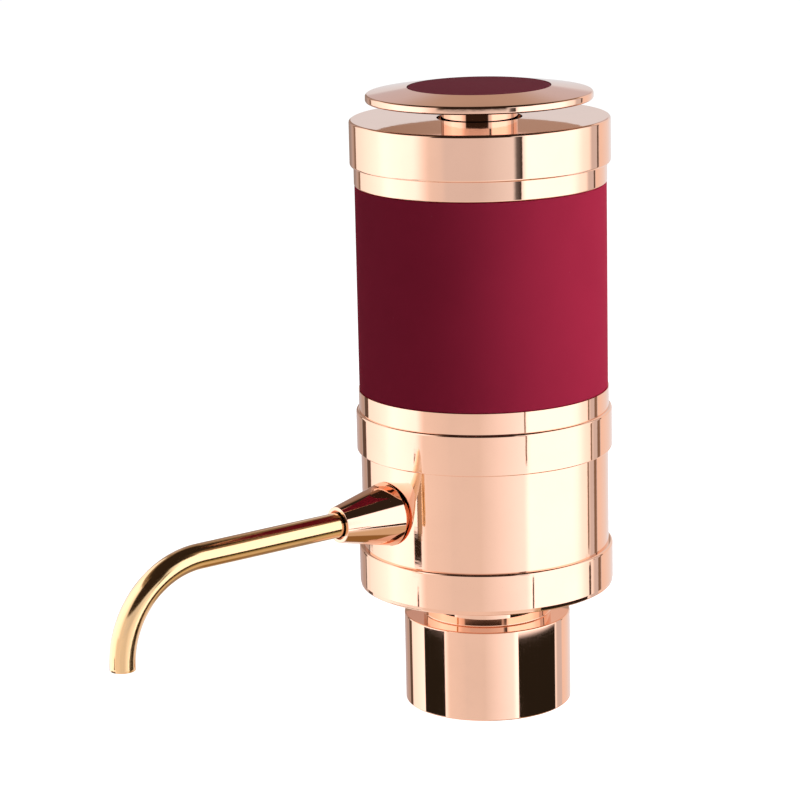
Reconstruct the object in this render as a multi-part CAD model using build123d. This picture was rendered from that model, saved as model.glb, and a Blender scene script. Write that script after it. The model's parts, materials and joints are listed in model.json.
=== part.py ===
"""Electric wine aerator: a battery air pump that stands on a bottle and pours through a bent spout.

Lengths are millimetres. Z points up, the origin is the centre of the collar's bottom edge,
and the spout points along -Y.
"""

import os
from math import atan2, cos, degrees, hypot, pi, radians, sin, sqrt

from build123d import *

# Heights of the outer pieces, from the collar's bottom edge up
collar_height = 22.25
neck_height = 7.6
base_ring_height = 10.0
housing_ring_height = 9.9
housing_band_height = 5.0
cap_joint_gap = 0.1
cap_band_height = 4.65
cap_ring_height = 10.9
disc_gap = 4.1
disc_edge_height = 1.85
disc_rise = 1.45

# Radii of the outer pieces
collar_radius = 20.3
neck_radius = 15.5
body_radius = 30.0
barrel_recess = 0.05
ring_rise = 0.9
housing_band_rise = 0.2
cap_band_rise = 0.1
cap_ring_rise = 1.0
disc_radius = 27.0
insert_radius = 17.0
stem_radius = 9.1
cap_hole_gap = 1.1

# Fits shared by many pieces
running_gap = 0.05
press_gap = 0.01
slip_gap = 0.1
loose_gap = 0.3
cut_overrun = 1.0

# Edge rounds of the plated pieces
fine_edge = 0.35
ring_edge = 0.45
base_edge = 1.6
cap_lower_edge = 1.3

# Collar, the seal that grips the bottle and the gasket over its lip
collar_wall = 2.0
collar_roof = 2.0
seal_bore_radius = 14.75
seal_bore_length = 11.0
seal_inset = 0.5
seal_relief_depth = 0.6
gasket_thickness = 2.0
neck_wall = 4.0

# Port block: the wine and air passages between the bottle and the housing
block_flange_height = 1.5
block_flange_overlap = 2.8
turret_radius = 4.8
turret_height = 7.0
turret_gap = 0.5
nipple_radius = 2.9
nipple_root_radius = 2.6
nipple_bore_radius = 1.9
nipple_length = 6.15
nipple_grip = 5.2
nipple_chamfer = 0.4
nipple_margin = 1.2
air_hole_radius = 0.9
air_port_offset = 5.4
air_turret_radius = 2.2
air_turret_height = 6.0

# Base cover and lower housing
base_floor = 2.2
base_wall = 1.9
spigot_depth = 5.0
barrel_wall = 2.55
deck_thickness = 2.0
deck_drop = 0.55
band_wall = 2.1
pillar_radius = 2.5
pillar_wall_gap = 0.6
front_pillar_angle = -38
rear_pillar_angle = 32
fence_wall = 1.0
fence_height = 1.75
fence_cut_back = 7.5
lead_hole_radius = 1.6

# Screws: shank and head of each size, and the depth that they bite
screw_radius = 1.0
screw_head_radius = 1.9
screw_head_height = 1.3
screw_countersink = 1.0
screw_bite = 6.0
screw_hole_gap = 0.1
socket_recess_radius = 0.8
socket_recess_depth = 0.5
collar_screw_count = 3
case_screw_inset = 6.9

# Spout: cone, spigot, tube and the socket that it plugs into
spout_height_share = 0.504
cone_base_radius = 7.7
cone_tip_radius = 4.3
cone_flange = 0.9
cone_length = 13.75
cone_tip_bore_radius = 3.5
cone_tip_bore_depth = 2.0
cone_edge = 0.3
boss_radius = 7.3
boss_stand = 0.1
boss_depth = 5.4
spigot_radius = 5.5
spigot_reach = 1.2
clip_thickness = 0.5
clip_groove_depth = 0.6
clip_width = 1.9
clip_opening_angle = 70
tube_radius = 3.0
tube_wall = 0.5
tube_reach = 105.4
tube_bend_radius = 21.4
tube_end_drop = 1.0
socket_clearance = 0.5
socket_wall = 2.5
socket_depth = 5.6
tube_seat_gap = 0.3
ring_section_radius = 0.7
ring_pocket_depth = 2.0

# Wine conduit and the jet that mixes the air in
conduit_radius = 3.5
conduit_bore_radius = 2.5
elbow_radius = 6.5
conduit_grip = 5.0
jet_length = 6.0
jet_throat_radius = 1.0
jet_mouth_radius = 2.0

# Air pump, from its pad up to the motor
pump_radius = 13.2
pump_side_gap = 0.7
pad_thickness = 1.6
pad_inset = 0.2
head_height = 4.4
head_floor = 1.2
head_cavity_radius = 8.6
valve_plate_thickness = 1.8
diaphragm_sheet = 0.8
pump_shell_height = 13.55
pump_shell_wall = 1.3
pump_top_thickness = 1.2
cup_count = 3
cup_pitch_radius = 7.0
cup_radius = 3.9
cup_wall = 0.8
cup_roof = 1.2
cup_stem_radius = 0.85
cup_bulb_radius = 1.35
cup_bulb_height = 0.7
valve_radius = 2.2
valve_thickness = 0.4
valve_stem_radius = 0.6
port_radius = 0.6
port_spacing = 1.5
fulcrum_radius = 1.2
fulcrum_height = 3.0
nozzle_radius = 1.1
nozzle_bore_radius = 0.6
nozzle_length = 3.9
nozzle_offset = 5.5
nozzle_height = 2.35
pump_screw_radius = 0.8
pump_screw_head_radius = 1.5
pump_screw_head_height = 0.9
pump_screw_bite = 4.0
pump_screw_pitch_radius = 11.1
pump_boss_radius = 1.8
pump_boss_height = 5.4

# Wobble drive: the tilted plate, its pin and the crank that leads it round
wobble_tilt = 6.0
fulcrum_gap = 0.1
plate_height = 2.8
plate_thickness = 1.2
hub_radius = 2.2
hub_rise = 0.3
hub_drop = 0.8
eye_radius = 2.0
eye_hole_gap = 0.4
arm_width = 2.4
pin_radius = 0.75
pin_length = 6.7
crank_radius = 4.5
crank_gap = 0.5
crank_height = 4.2
crank_grip = 1.9

# Motor
motor_radius = 12.2
motor_length = 12.3
motor_boss_radius = 3.0
shaft_radius = 1.0
end_cap_thickness = 1.1
end_cap_inset = 0.3
end_cap_bearing = 0.6
terminal_offset = 4.5
terminal_width = 2.0
terminal_thickness = 0.4
terminal_height = 1.9

# Internal hose and leads
hose_radius = 2.0
hose_wall = 0.85
hose_bend_radius = 4.5
hose_slack = 0.1
hose_push = 2.7
lead_room = 3.4
lead_radius = 0.6
lead_bend_radius = 2.2

# Battery case, cells and contacts
case_wall = 1.6
case_foot = 2.2
case_floor = 1.6
case_rise = 6.4
well_wall = 1.0
well_height = 40.0
rib_width = 1.6
rib_height = 35.0
cell_radius = 5.25
cell_length = 43.3
cell_spare = 6.2
cell_nub_radius = 1.9
cell_nub_height = 1.2
cell_edge = 0.5
cell_pitch_radius = 14.5
cell_count = 4
first_cell_angle = 135
cell_well_gap = 0.3
contact_thickness = 0.3
contact_radius = 3.6
contact_bump_radius = 1.6
contact_bump_height = 0.2
contact_gap = 0.1
contact_strip_width = 4.0
leaf_width = 3.0
leaf_run = 3.2
leaf_tip = 1.4
leaf_compressed = 2.4
tail_radius = 0.5
tail_length = 2.3
lug_count = 3
lug_height = 2.0
lug_rise = 1.1
lug_angle = 12
lug_drop = 1.9
lug_gap = 0.3
cap_twist_angle = 30
groove_spare_angle = 3

# Top cap, button guide and switch
cap_wall_gap = 0.3
cap_top_thickness = 1.8
guide_flange_radius = 16.5
guide_flange_thickness = 1.6
guide_wall = 2.8
guide_length = 7.7
stake_radius = 0.9
stake_pitch_radius = 14.3
stake_count = 3
stake_head = 0.5
carrier_gap = 0.6
carrier_thickness = 1.8
carrier_boss_radius = 2.6
carrier_boss_pitch_radius = 21.5
carrier_boss_count = 3
first_carrier_boss_angle = 30
board_radius = 9.5
board_thickness = 1.0
board_rim_wall = 1.2
board_rim_height = 1.7
switch_width = 6.2
switch_height = 3.6
switch_floor = 0.6
plunger_radius = 1.75
plunger_root = 0.8
plunger_spare = 0.4
button_travel = 2.0

# Button
button_lower_edge = 0.4
insert_thickness = 1.25
insert_crown = 0.2
insert_edge = 0.35
recess_gap = 0.1
stem_wall = 1.7
stem_floor_rise = 3.0
stem_roof = 2.0
disc_spigot_depth = 2.0
post_radius = 2.0
stem_clip_thickness = 0.7
stem_clip_width = 2.2
stem_groove_depth = 0.8
stem_tail = 0.8
spring_radius = 5.8
spring_wire_radius = 0.35
spring_turns = 5
spring_seat_gap = 0.05

# Heights above the collar's bottom edge that several pieces share
base_z = collar_height + neck_height
floor_z = base_z + base_floor
head_z = floor_z + pad_thickness
valve_plate_z = head_z + head_height
diaphragm_z = valve_plate_z + valve_plate_thickness
shell_z = diaphragm_z + diaphragm_sheet
shell_top_z = shell_z + pump_shell_height
motor_top_z = shell_top_z + motor_length
end_cap_z = motor_top_z + end_cap_thickness
deck_z = end_cap_z + lead_room
deck_top_z = deck_z + deck_thickness
band_z = deck_top_z + deck_drop
ring_z = band_z - housing_ring_height
barrel_z = base_z + base_ring_height
spout_z = barrel_z + (ring_z - barrel_z) * spout_height_share
sleeve_z = band_z + housing_band_height
sleeve_top_z = sleeve_z + cell_length + cell_spare
cap_z = sleeve_top_z + cap_joint_gap
cap_ring_z = cap_z + cap_band_height
cap_top_z = cap_ring_z + cap_ring_height
disc_z = cap_top_z + disc_gap
disc_edge_z = disc_z + disc_edge_height
disc_top_z = disc_edge_z + disc_rise

# Radii and places that follow from them
barrel_radius = body_radius - barrel_recess
ring_radius = body_radius + ring_rise
housing_band_radius = body_radius + housing_band_rise
cap_band_radius = body_radius + cap_band_rise
cap_ring_radius = body_radius + cap_ring_rise
cap_hole_radius = stem_radius + cap_hole_gap
housing_inner_radius = barrel_radius - barrel_wall
neck_bore_radius = neck_radius - neck_wall
case_radius = housing_band_radius - band_wall - slip_gap
case_inner_radius = case_radius - case_wall
case_screw_x = case_inner_radius - case_screw_inset
carrier_radius = case_inner_radius - carrier_gap
pump_y = housing_inner_radius - pump_side_gap - pump_radius
wine_y = pump_y - pump_radius - turret_gap - turret_radius
roof_z = collar_height - collar_roof
block_face_z = roof_z - block_flange_height
gasket_hole_radius = nipple_margin + nipple_radius - wine_y

# Levels of the wobble drive and the pump's nozzle
apex_z = shell_z + fulcrum_height
crank_z = apex_z + plate_height + plate_thickness + crank_gap + hub_rise
nozzle_z = head_z + nozzle_height

# Levels of the battery stack
case_floor_z = deck_top_z + case_foot + case_floor
case_top_z = cap_z + case_rise
lower_contact_z = case_floor_z + contact_thickness
upright_cell_z = lower_contact_z + leaf_compressed + contact_gap
upright_nub_z = upright_cell_z + cell_length + cell_nub_height
upper_contact_z = upright_nub_z + contact_gap + contact_bump_height
carrier_z = upper_contact_z + contact_thickness
board_z = carrier_z + carrier_thickness
switch_z = board_z + board_thickness
switch_top_z = switch_z + switch_height
plunger_top_z = switch_top_z + button_travel + plunger_spare
cap_under_z = cap_top_z - cap_top_thickness
guide_z = cap_under_z - guide_length
stem_roof_z = guide_z + stem_floor_rise + stem_groove_depth + stem_roof
stem_clip_z = guide_z - running_gap - stem_clip_thickness

# Distances along the spout, from the body's axis
boss_face = barrel_radius + boss_stand
cone_back = boss_face + running_gap
cone_base = cone_back + cone_flange
cone_tip = cone_base + cone_length
boss_back = boss_face - boss_depth
clip_back = boss_back - slip_gap - clip_thickness
spigot_end = clip_back - spigot_reach + clip_thickness
socket_mouth = spigot_end - socket_clearance
socket_floor = socket_mouth - socket_depth


def rod(radius, low, high, x=0, y=0):
    """A cylinder between two heights."""
    base = Align.MIN
    return Pos(x, y, low) * Cylinder(radius, high - low, align=(Align.CENTER, Align.CENTER, base))


def pipe(outer, inner, low, high, x=0, y=0):
    """A plain tube between two heights."""
    return rod(outer, low, high, x, y) - rod(inner, low - cut_overrun, high + cut_overrun, x, y)


def block(width, depth, low, high, x=0, y=0):
    """A box centred on x and y between two heights."""
    align = (Align.CENTER, Align.CENTER, Align.MIN)
    return Pos(x, y, low) * Box(width, depth, high - low, align=align)


def turned(points, rounds=None):
    """Spin an outline of (radius, height) points about Z, with the named corners rounded."""
    corners = [(r, 0, z) for r, z in points]
    if rounds:
        sizes = [rounds.get(i, 0) for i in range(len(corners))]
        outline = FilletPolyline(*corners, radius=sizes, close=True)
    else:
        outline = Polyline(*corners, close=True)
    return revolve(make_face(outline), Axis.Z)


def around(count, radius, start=90):
    """Places spaced evenly on a circle."""
    turns = [radians(start + 360 * i / count) for i in range(count)]
    return [(radius * cos(t), radius * sin(t)) for t in turns]


def along_spout(shape):
    """Lay a shape that was made on Z along the spout's axis, with its height as the distance out."""
    return Pos(0, 0, spout_z) * Rot(90, 0, 0) * shape


def at_pump(shape):
    """Move a shape that was made on Z to the pump's axis."""
    return Pos(0, pump_y, 0) * shape


def sector(radius, low, high, start, sweep):
    """A pie slice between two heights, from a start angle through a sweep in degrees."""
    rim = CenterArc((0, 0), radius, start, sweep)
    edges = [Line((0, 0), rim @ 0), rim, Line(rim @ 1, (0, 0))]
    return Pos(0, 0, low) * extrude(make_face(edges), high - low)


def flat_screw(top, bite):
    """A countersunk screw that points down, its face level with top."""
    neck = top - screw_countersink
    outline = [
        (0, neck - bite),
        (screw_radius, neck - bite),
        (screw_radius, neck),
        (screw_head_radius, top),
        (socket_recess_radius, top),
        (socket_recess_radius, top - socket_recess_depth),
        (0, top - socket_recess_depth),
    ]
    return turned(outline)


def flat_screw_seat(top, through):
    """The hole and countersink for a flat screw, cut down from top."""
    neck = top - screw_countersink
    hole = screw_radius + screw_hole_gap
    outline = [
        (0, neck - through),
        (hole, neck - through),
        (hole, neck),
        (screw_head_radius + screw_hole_gap, top),
        (screw_head_radius + screw_hole_gap, top + cut_overrun),
        (0, top + cut_overrun),
    ]
    return turned(outline)


def pan_screw(seat, bite):
    """A round-headed screw that points down, its head standing on seat."""
    top = seat + screw_head_height
    outline = [
        (0, seat - bite),
        (screw_radius, seat - bite),
        (screw_radius, seat),
        (screw_head_radius, seat),
        (screw_head_radius, top),
        (socket_recess_radius, top),
        (socket_recess_radius, top - socket_recess_depth),
        (0, top - socket_recess_depth),
    ]
    return turned(outline)


# Collar and bottle socket


def collar_screw_places():
    """Where the collar's screws stand in the neck's wall."""
    return around(collar_screw_count, neck_radius - neck_wall / 2, -90)


def collar():
    """The plated cup that slips over the bottle, with the neck that carries the housing."""
    inner = collar_radius - collar_wall
    body = turned(
        [
            (collar_radius, 0),
            (collar_radius, collar_height),
            (neck_radius, collar_height),
            (neck_radius, base_z),
            (neck_bore_radius, base_z),
            (neck_bore_radius, roof_z),
            (inner, roof_z),
            (inner, 0),
        ],
        {0: fine_edge, 1: fine_edge},
    )
    bite = screw_bite - base_floor + screw_countersink + cut_overrun
    for x, y in collar_screw_places():
        body -= rod(screw_radius + press_gap, base_z - bite, base_z + cut_overrun, x, y)
    return body


def bottle_seal():
    """The soft sleeve that grips the bottle's rim, with a relief for the ring of the glass."""
    outer = collar_radius - collar_wall - slip_gap
    top = block_face_z - gasket_thickness
    relief = seal_bore_radius + seal_relief_depth
    step = seal_inset + seal_bore_length
    return turned(
        [
            (outer, seal_inset),
            (outer, top),
            (relief, top),
            (relief, step),
            (seal_bore_radius, step),
            (seal_bore_radius, seal_inset),
        ]
    )


def socket_gasket():
    """The soft ring that the bottle's lip closes against."""
    outer = collar_radius - collar_wall - slip_gap
    return pipe(outer, gasket_hole_radius, block_face_z - gasket_thickness, block_face_z)


def port_block():
    """The moulding in the neck that leads wine up and air down."""
    air_x = air_port_offset
    flange_radius = neck_bore_radius + block_flange_overlap
    top = floor_z - running_gap
    body = rod(neck_bore_radius - slip_gap, block_face_z, top)
    body += rod(flange_radius, block_face_z, roof_z)
    body += rod(turret_radius, top - base_floor, top + turret_height, 0, wine_y)
    body += rod(air_turret_radius, top - base_floor, top + air_turret_height, air_x, wine_y)
    barb = Pos(air_x, wine_y, nozzle_z) * Rot(0, 90, 0)
    reach = air_turret_radius + nozzle_length
    body += barb * rod(nozzle_radius, 0, reach)
    below = block_face_z - cut_overrun
    mouth = top + turret_height
    body -= rod(conduit_radius + press_gap, mouth - conduit_grip, mouth + cut_overrun, 0, wine_y)
    body -= rod(nipple_bore_radius, below, mouth, 0, wine_y)
    body -= rod(nipple_root_radius + press_gap, below, block_face_z + nipple_grip, 0, wine_y)
    body -= rod(air_hole_radius, below, nozzle_z, air_x, wine_y)
    body -= barb * rod(nozzle_bore_radius, 0, reach + cut_overrun)
    return body


def inlet_nipple():
    """The steel spigot that a dip tube pushes onto."""
    low = block_face_z - nipple_length
    high = block_face_z + nipple_grip - running_gap
    return turned(
        [
            (nipple_bore_radius, low),
            (nipple_radius - nipple_chamfer, low),
            (nipple_radius, low + nipple_chamfer),
            (nipple_radius, block_face_z),
            (nipple_root_radius, block_face_z),
            (nipple_root_radius, high),
            (nipple_bore_radius, high),
        ]
    ).moved(Location((0, wine_y, 0)))


# Base cover and lower housing


def pillar_places():
    """Where the four pillars stand, close to the housing's wall."""
    pitch = housing_inner_radius - pillar_wall_gap - pillar_radius
    places = []
    for angle in (front_pillar_angle, rear_pillar_angle):
        turn = radians(angle)
        for side in (-1, 1):
            places.append((side * pitch * cos(turn), pitch * sin(turn)))
    return places


def base_cover():
    """The plated bottom cover with its ring, pump fence and screw pillars."""
    inner = ring_radius - base_wall
    body = turned(
        [
            (neck_bore_radius, base_z),
            (ring_radius, base_z),
            (ring_radius, barrel_z),
            (inner, barrel_z),
            (inner, floor_z),
            (neck_bore_radius, floor_z),
        ],
        {1: base_edge, 2: fine_edge},
    )
    fence_inner = pump_radius + slip_gap
    fence_foot = floor_z - base_floor / 2
    fence = at_pump(pipe(fence_inner + fence_wall, fence_inner, fence_foot, floor_z + fence_height))
    keep = block(2 * ring_radius, ring_radius, base_z, barrel_z, 0, ring_radius / 2)
    body += fence & Pos(0, pump_y - fence_cut_back, 0) * keep
    pillar_top = deck_z
    for x, y in pillar_places():
        body += rod(pillar_radius, floor_z - base_floor / 2, pillar_top, x, y)
        body -= rod(screw_radius + press_gap, pillar_top - screw_bite, pillar_top + cut_overrun, x, y)
    for x, y in collar_screw_places():
        body -= Pos(x, y, 0) * flat_screw_seat(floor_z, base_floor + cut_overrun)
    return body


def collar_screws():
    """Flat screws that hold the collar under the base cover."""
    places = collar_screw_places()
    return Compound([Pos(x, y, 0) * flat_screw(floor_z - running_gap, screw_bite) for x, y in places])


def lower_housing():
    """The plated barrel with its raised ring, narrow band, inner deck and spout boss."""
    spigot_radius_out = ring_radius - base_wall - slip_gap
    case_pocket = case_radius + slip_gap
    body = turned(
        [
            (housing_inner_radius, barrel_z - spigot_depth),
            (spigot_radius_out, barrel_z - spigot_depth),
            (spigot_radius_out, barrel_z),
            (barrel_radius, barrel_z),
            (barrel_radius, ring_z),
            (ring_radius, ring_z),
            (ring_radius, band_z),
            (housing_band_radius, band_z),
            (housing_band_radius, sleeve_z),
            (case_pocket, sleeve_z),
            (case_pocket, deck_top_z),
            (0, deck_top_z),
            (0, deck_z),
            (housing_inner_radius, deck_z),
        ],
        {5: fine_edge, 6: ring_edge},
    )
    boss = rod(boss_radius, boss_back, boss_face)
    bore = rod(spigot_radius + running_gap, boss_back - cut_overrun, boss_face + cut_overrun)
    body += along_spout(boss)
    body -= along_spout(bore)
    below = deck_z - cut_overrun
    above = deck_top_z + cut_overrun
    for x, y in pillar_places():
        body -= rod(screw_radius + screw_hole_gap, below, above, x, y)
    for side in (-1, 1):
        body -= rod(screw_radius + press_gap, below, above, side * case_screw_x, 0)
        lead_x, lead_y = lead_place(side)
        body -= rod(lead_hole_radius, below, above, lead_x, lead_y)
    return body


def housing_screws():
    """Round-headed screws through the deck into the pillars."""
    bite = deck_thickness + screw_bite - screw_hole_gap
    return Compound([Pos(x, y, 0) * pan_screw(deck_top_z, bite) for x, y in pillar_places()])


# Spout and wine path


def wine_conduit():
    """The elbow from the port block to the spout, ending in a socket for the tube."""
    low = floor_z + turret_height - conduit_grip
    path = FilletPolyline(
        (0, wine_y, low),
        (0, wine_y, spout_z),
        (0, -socket_floor, spout_z),
        radius=elbow_radius,
    )
    start = Plane((0, wine_y, low), z_dir=(0, 0, 1))
    body = sweep(start * Circle(conduit_radius), path=path)
    mouth_radius = tube_radius + socket_wall
    socket = rod(mouth_radius, socket_floor - socket_wall, socket_mouth)
    body += along_spout(socket)
    body -= sweep(start * Circle(conduit_bore_radius), path=path)
    inner = socket_floor - socket_wall
    outer = socket_mouth + cut_overrun
    body -= along_spout(rod(conduit_bore_radius, inner, socket_floor + cut_overrun))
    body -= along_spout(rod(tube_radius + running_gap, socket_floor, outer))
    pocket = tube_radius + 2 * ring_section_radius + 2 * running_gap
    body -= along_spout(rod(pocket, socket_mouth - ring_pocket_depth, outer))
    return body


def aerator_jet():
    """The waisted insert that speeds the wine past the air."""
    low = floor_z + turret_height - conduit_grip + running_gap
    outer = conduit_bore_radius - press_gap
    waist = low + jet_length / 2
    return turned(
        [
            (jet_mouth_radius, low),
            (outer, low),
            (outer, low + jet_length),
            (jet_mouth_radius, low + jet_length),
            (jet_throat_radius, waist),
        ]
    ).moved(Location((0, wine_y, 0)))


def spout_o_ring():
    """The soft ring that seals the tube in its socket."""
    centre = tube_radius + running_gap + ring_section_radius
    place = socket_mouth - ring_pocket_depth / 2
    return along_spout(Pos(0, 0, place) * Torus(centre, ring_section_radius))


def spout_cone():
    """The plated cone that turns in the housing's boss and guides the tube."""
    bore = tube_radius + running_gap
    groove = spigot_radius - clip_groove_depth
    body = turned(
        [
            (bore, spigot_end),
            (spigot_radius, spigot_end),
            (spigot_radius, clip_back),
            (groove, clip_back),
            (groove, boss_back),
            (spigot_radius, boss_back),
            (spigot_radius, cone_back),
            (cone_base_radius, cone_back),
            (cone_base_radius, cone_base),
            (cone_tip_radius, cone_tip),
            (cone_tip_bore_radius, cone_tip),
            (cone_tip_bore_radius, cone_tip - cone_tip_bore_depth),
            (bore, cone_tip - cone_tip_bore_depth),
        ],
        {7: cone_edge, 8: cone_edge, 9: cone_edge},
    )
    return along_spout(body)


def spout_clip():
    """The open spring ring that keeps the cone in the housing."""
    inner = spigot_radius - clip_groove_depth + running_gap
    ring = pipe(inner + clip_width, inner, clip_back + running_gap, clip_back + clip_thickness)
    start = 90 - clip_opening_angle / 2
    reach = 2 * (inner + clip_width)
    return along_spout(ring - sector(reach, 0, boss_face, start, clip_opening_angle))


def spout_tube():
    """The bent pouring tube, open at both ends."""
    start = socket_floor + tube_seat_gap
    tip_z = spout_z - tube_bend_radius - tube_end_drop
    path = FilletPolyline(
        (0, -start, spout_z),
        (0, -tube_reach, spout_z),
        (0, -tube_reach, tip_z),
        radius=tube_bend_radius,
    )
    section = Plane((0, -start, spout_z), z_dir=(0, -1, 0))
    wall = section * (Circle(tube_radius) - Circle(tube_radius - tube_wall))
    return sweep(wall, path=path)


# Air pump


def cup_places():
    """Where the pump's cups stand about its axis."""
    return around(cup_count, cup_pitch_radius, 90)


def pump_screw_places():
    """Where the pump's long screws pass, between the cups."""
    return around(cup_count, pump_screw_pitch_radius, 90 + 180 / cup_count)


def plate_under(y):
    """Height of the tilted plate's underside at a distance from the pump's axis."""
    tilt = radians(wobble_tilt)
    return apex_z + (plate_height - y * sin(tilt)) / cos(tilt)


def pump_pad():
    """The soft pad that stills the pump."""
    return at_pump(rod(pump_radius - pad_inset, floor_z, head_z))


def pump_head():
    """The bottom chamber of the pump with its side nozzle."""
    body = rod(pump_radius, head_z, valve_plate_z)
    start = sqrt(pump_radius**2 - nozzle_offset**2) - head_floor
    nozzle = Pos(0, -nozzle_offset, nozzle_z) * Rot(0, 90, 0)
    body += nozzle * rod(nozzle_radius, start, start + head_floor + nozzle_length)
    body -= rod(head_cavity_radius, head_z + head_floor, valve_plate_z + cut_overrun)
    body -= nozzle * rod(nozzle_bore_radius, 0, start + head_floor + nozzle_length + cut_overrun)
    hole = pump_screw_radius + screw_hole_gap
    recess = pump_screw_head_radius + screw_hole_gap
    recess_top = head_z + pump_screw_head_height + running_gap
    for x, y in pump_screw_places():
        body -= rod(hole, head_z - cut_overrun, valve_plate_z + cut_overrun, x, y)
        body -= rod(recess, head_z - cut_overrun, recess_top, x, y)
    return at_pump(body)


def valve_plate():
    """The plate of ports under the cups, with the post that carries the wobble pin's tip."""
    body = rod(pump_radius, valve_plate_z, diaphragm_z)
    body += rod(fulcrum_radius, diaphragm_z, apex_z - fulcrum_gap)
    below = valve_plate_z - cut_overrun
    above = diaphragm_z + cut_overrun
    away = 1 + port_spacing / cup_pitch_radius
    near = 1 - port_spacing / cup_pitch_radius
    for x, y in cup_places():
        body -= rod(valve_stem_radius + running_gap, below, above, x, y)
        body -= rod(port_radius, below, above, x * near, y * near)
        body -= rod(port_radius, below, above, x * away, y * away)
    for x, y in pump_screw_places():
        body -= rod(pump_screw_radius + screw_hole_gap, below, above, x, y)
    return at_pump(body)


def pump_valves():
    """One soft mushroom valve under each cup."""
    valves = []
    for x, y in cup_places():
        stem = rod(valve_stem_radius, valve_plate_z, diaphragm_z + valve_thickness, x, y)
        seat = diaphragm_z + running_gap
        cap = rod(valve_radius, seat, seat + valve_thickness, x, y)
        valves.append(at_pump(stem + cap))
    return Compound(valves)


def diaphragm():
    """The moulded rubber sheet whose cups the wobble plate works in turn."""
    body = rod(pump_radius, diaphragm_z, shell_z)
    lean = sin(radians(wobble_tilt))
    for x, y in cup_places():
        top = plate_under(y) - slip_gap - cup_radius * lean
        above = plate_under(y) + plate_thickness + cup_stem_radius * lean + slip_gap
        bulb = above + eye_hole_gap / 2
        cup = rod(cup_radius, shell_z - diaphragm_sheet / 2, top, x, y)
        cup += rod(cup_stem_radius, top, bulb + cup_bulb_height, x, y)
        cup += rod(cup_bulb_radius, bulb, bulb + cup_bulb_height, x, y)
        body += cup
        body -= rod(cup_radius - cup_wall, diaphragm_z - cut_overrun, top - cup_roof, x, y)
    below = diaphragm_z - cut_overrun
    body -= rod(fulcrum_radius + loose_gap, below, shell_z + cut_overrun)
    for x, y in pump_screw_places():
        body -= rod(pump_screw_radius + screw_hole_gap, below, shell_z + cut_overrun, x, y)
    return at_pump(body)


def pump_body():
    """The pump's shell, with the screw bosses inside and the motor's seat on top."""
    inner = pump_radius - pump_shell_wall
    body = rod(pump_radius, shell_z, shell_top_z)
    body -= rod(inner, shell_z - cut_overrun, shell_top_z - pump_top_thickness)
    for x, y in pump_screw_places():
        boss = rod(pump_boss_radius, shell_z, shell_z + pump_boss_height, x, y)
        body += boss & rod(pump_radius, shell_z, shell_top_z)
        end = shell_z + pump_screw_bite + running_gap
        body -= rod(pump_screw_radius + press_gap, shell_z - cut_overrun, end, x, y)
    body -= rod(motor_boss_radius + running_gap, shell_z, shell_top_z + cut_overrun)
    return at_pump(body)


def pump_screws():
    """Long screws that clamp the pump's head, plate and diaphragm to its shell."""
    screws = []
    seat = head_z + pump_screw_head_height
    for x, y in pump_screw_places():
        shank = rod(pump_screw_radius, seat, shell_z + pump_screw_bite, x, y)
        head = rod(pump_screw_head_radius, head_z, seat, x, y)
        head -= rod(socket_recess_radius, head_z - cut_overrun, head_z + socket_recess_depth, x, y)
        screws.append(at_pump(shank + head))
    return Compound(screws)


def on_tilt(shape):
    """Place a shape made about the wobble pin's own axis, its foot at the fulcrum."""
    return Pos(0, pump_y, apex_z) * Rot(-wobble_tilt, 0, 0) * shape


def wobble_plate():
    """The spider that rocks about the fulcrum and lifts the cups in turn."""
    top = plate_height + plate_thickness
    body = rod(hub_radius, plate_height - hub_drop, top + hub_rise)
    for x, y in cup_places():
        turn = degrees(atan2(y, x))
        arm = block(cup_pitch_radius, arm_width, plate_height, top)
        body += Pos(x / 2, y / 2, 0) * Rot(0, 0, turn) * arm
        body += rod(eye_radius, plate_height, top, x, y)
    for x, y in cup_places():
        body -= rod(cup_stem_radius + eye_hole_gap, plate_height - cut_overrun, top + cut_overrun, x, y)
    body -= rod(pin_radius + press_gap, 0, top + hub_rise + cut_overrun)
    return on_tilt(body)


def drive_pin():
    """The steel pin from the fulcrum to the crank."""
    return on_tilt(rod(pin_radius, fulcrum_gap, pin_length))


def crank():
    """The hub on the motor's shaft, with the tilted hole that leads the pin round."""
    body = at_pump(rod(crank_radius, crank_z, crank_z + crank_height))
    body -= on_tilt(rod(pin_radius + running_gap, 0, pin_length + slip_gap))
    grip = crank_z + crank_height - crank_grip
    body -= at_pump(rod(shaft_radius + press_gap, grip, crank_z + crank_height + cut_overrun))
    return body


def motor_shaft():
    """The motor's shaft."""
    low = crank_z + crank_height - crank_grip + running_gap
    return at_pump(rod(shaft_radius, low, motor_top_z + end_cap_bearing - running_gap))


def motor_can():
    """The motor's steel can with its front bearing boss."""
    body = rod(motor_radius, shell_top_z, motor_top_z)
    body += rod(motor_boss_radius, shell_top_z - pump_top_thickness, shell_top_z)
    body -= rod(shaft_radius + running_gap, shell_z, motor_top_z + cut_overrun)
    return at_pump(body)


def motor_end_cap():
    """The motor's plastic rear cap."""
    body = rod(motor_radius - end_cap_inset, motor_top_z, end_cap_z)
    body -= rod(shaft_radius + running_gap, motor_top_z - cut_overrun, motor_top_z + end_cap_bearing)
    return at_pump(body)


def motor_terminals():
    """Two solder blades on the rear cap."""
    blades = []
    y = lead_place(1)[1]
    for side in (-1, 1):
        blade = block(terminal_thickness, terminal_width, end_cap_z, end_cap_z + terminal_height)
        blades.append(Pos(side * terminal_offset, y, 0) * blade)
    return Compound(blades)


# Internal hose and leads


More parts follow.
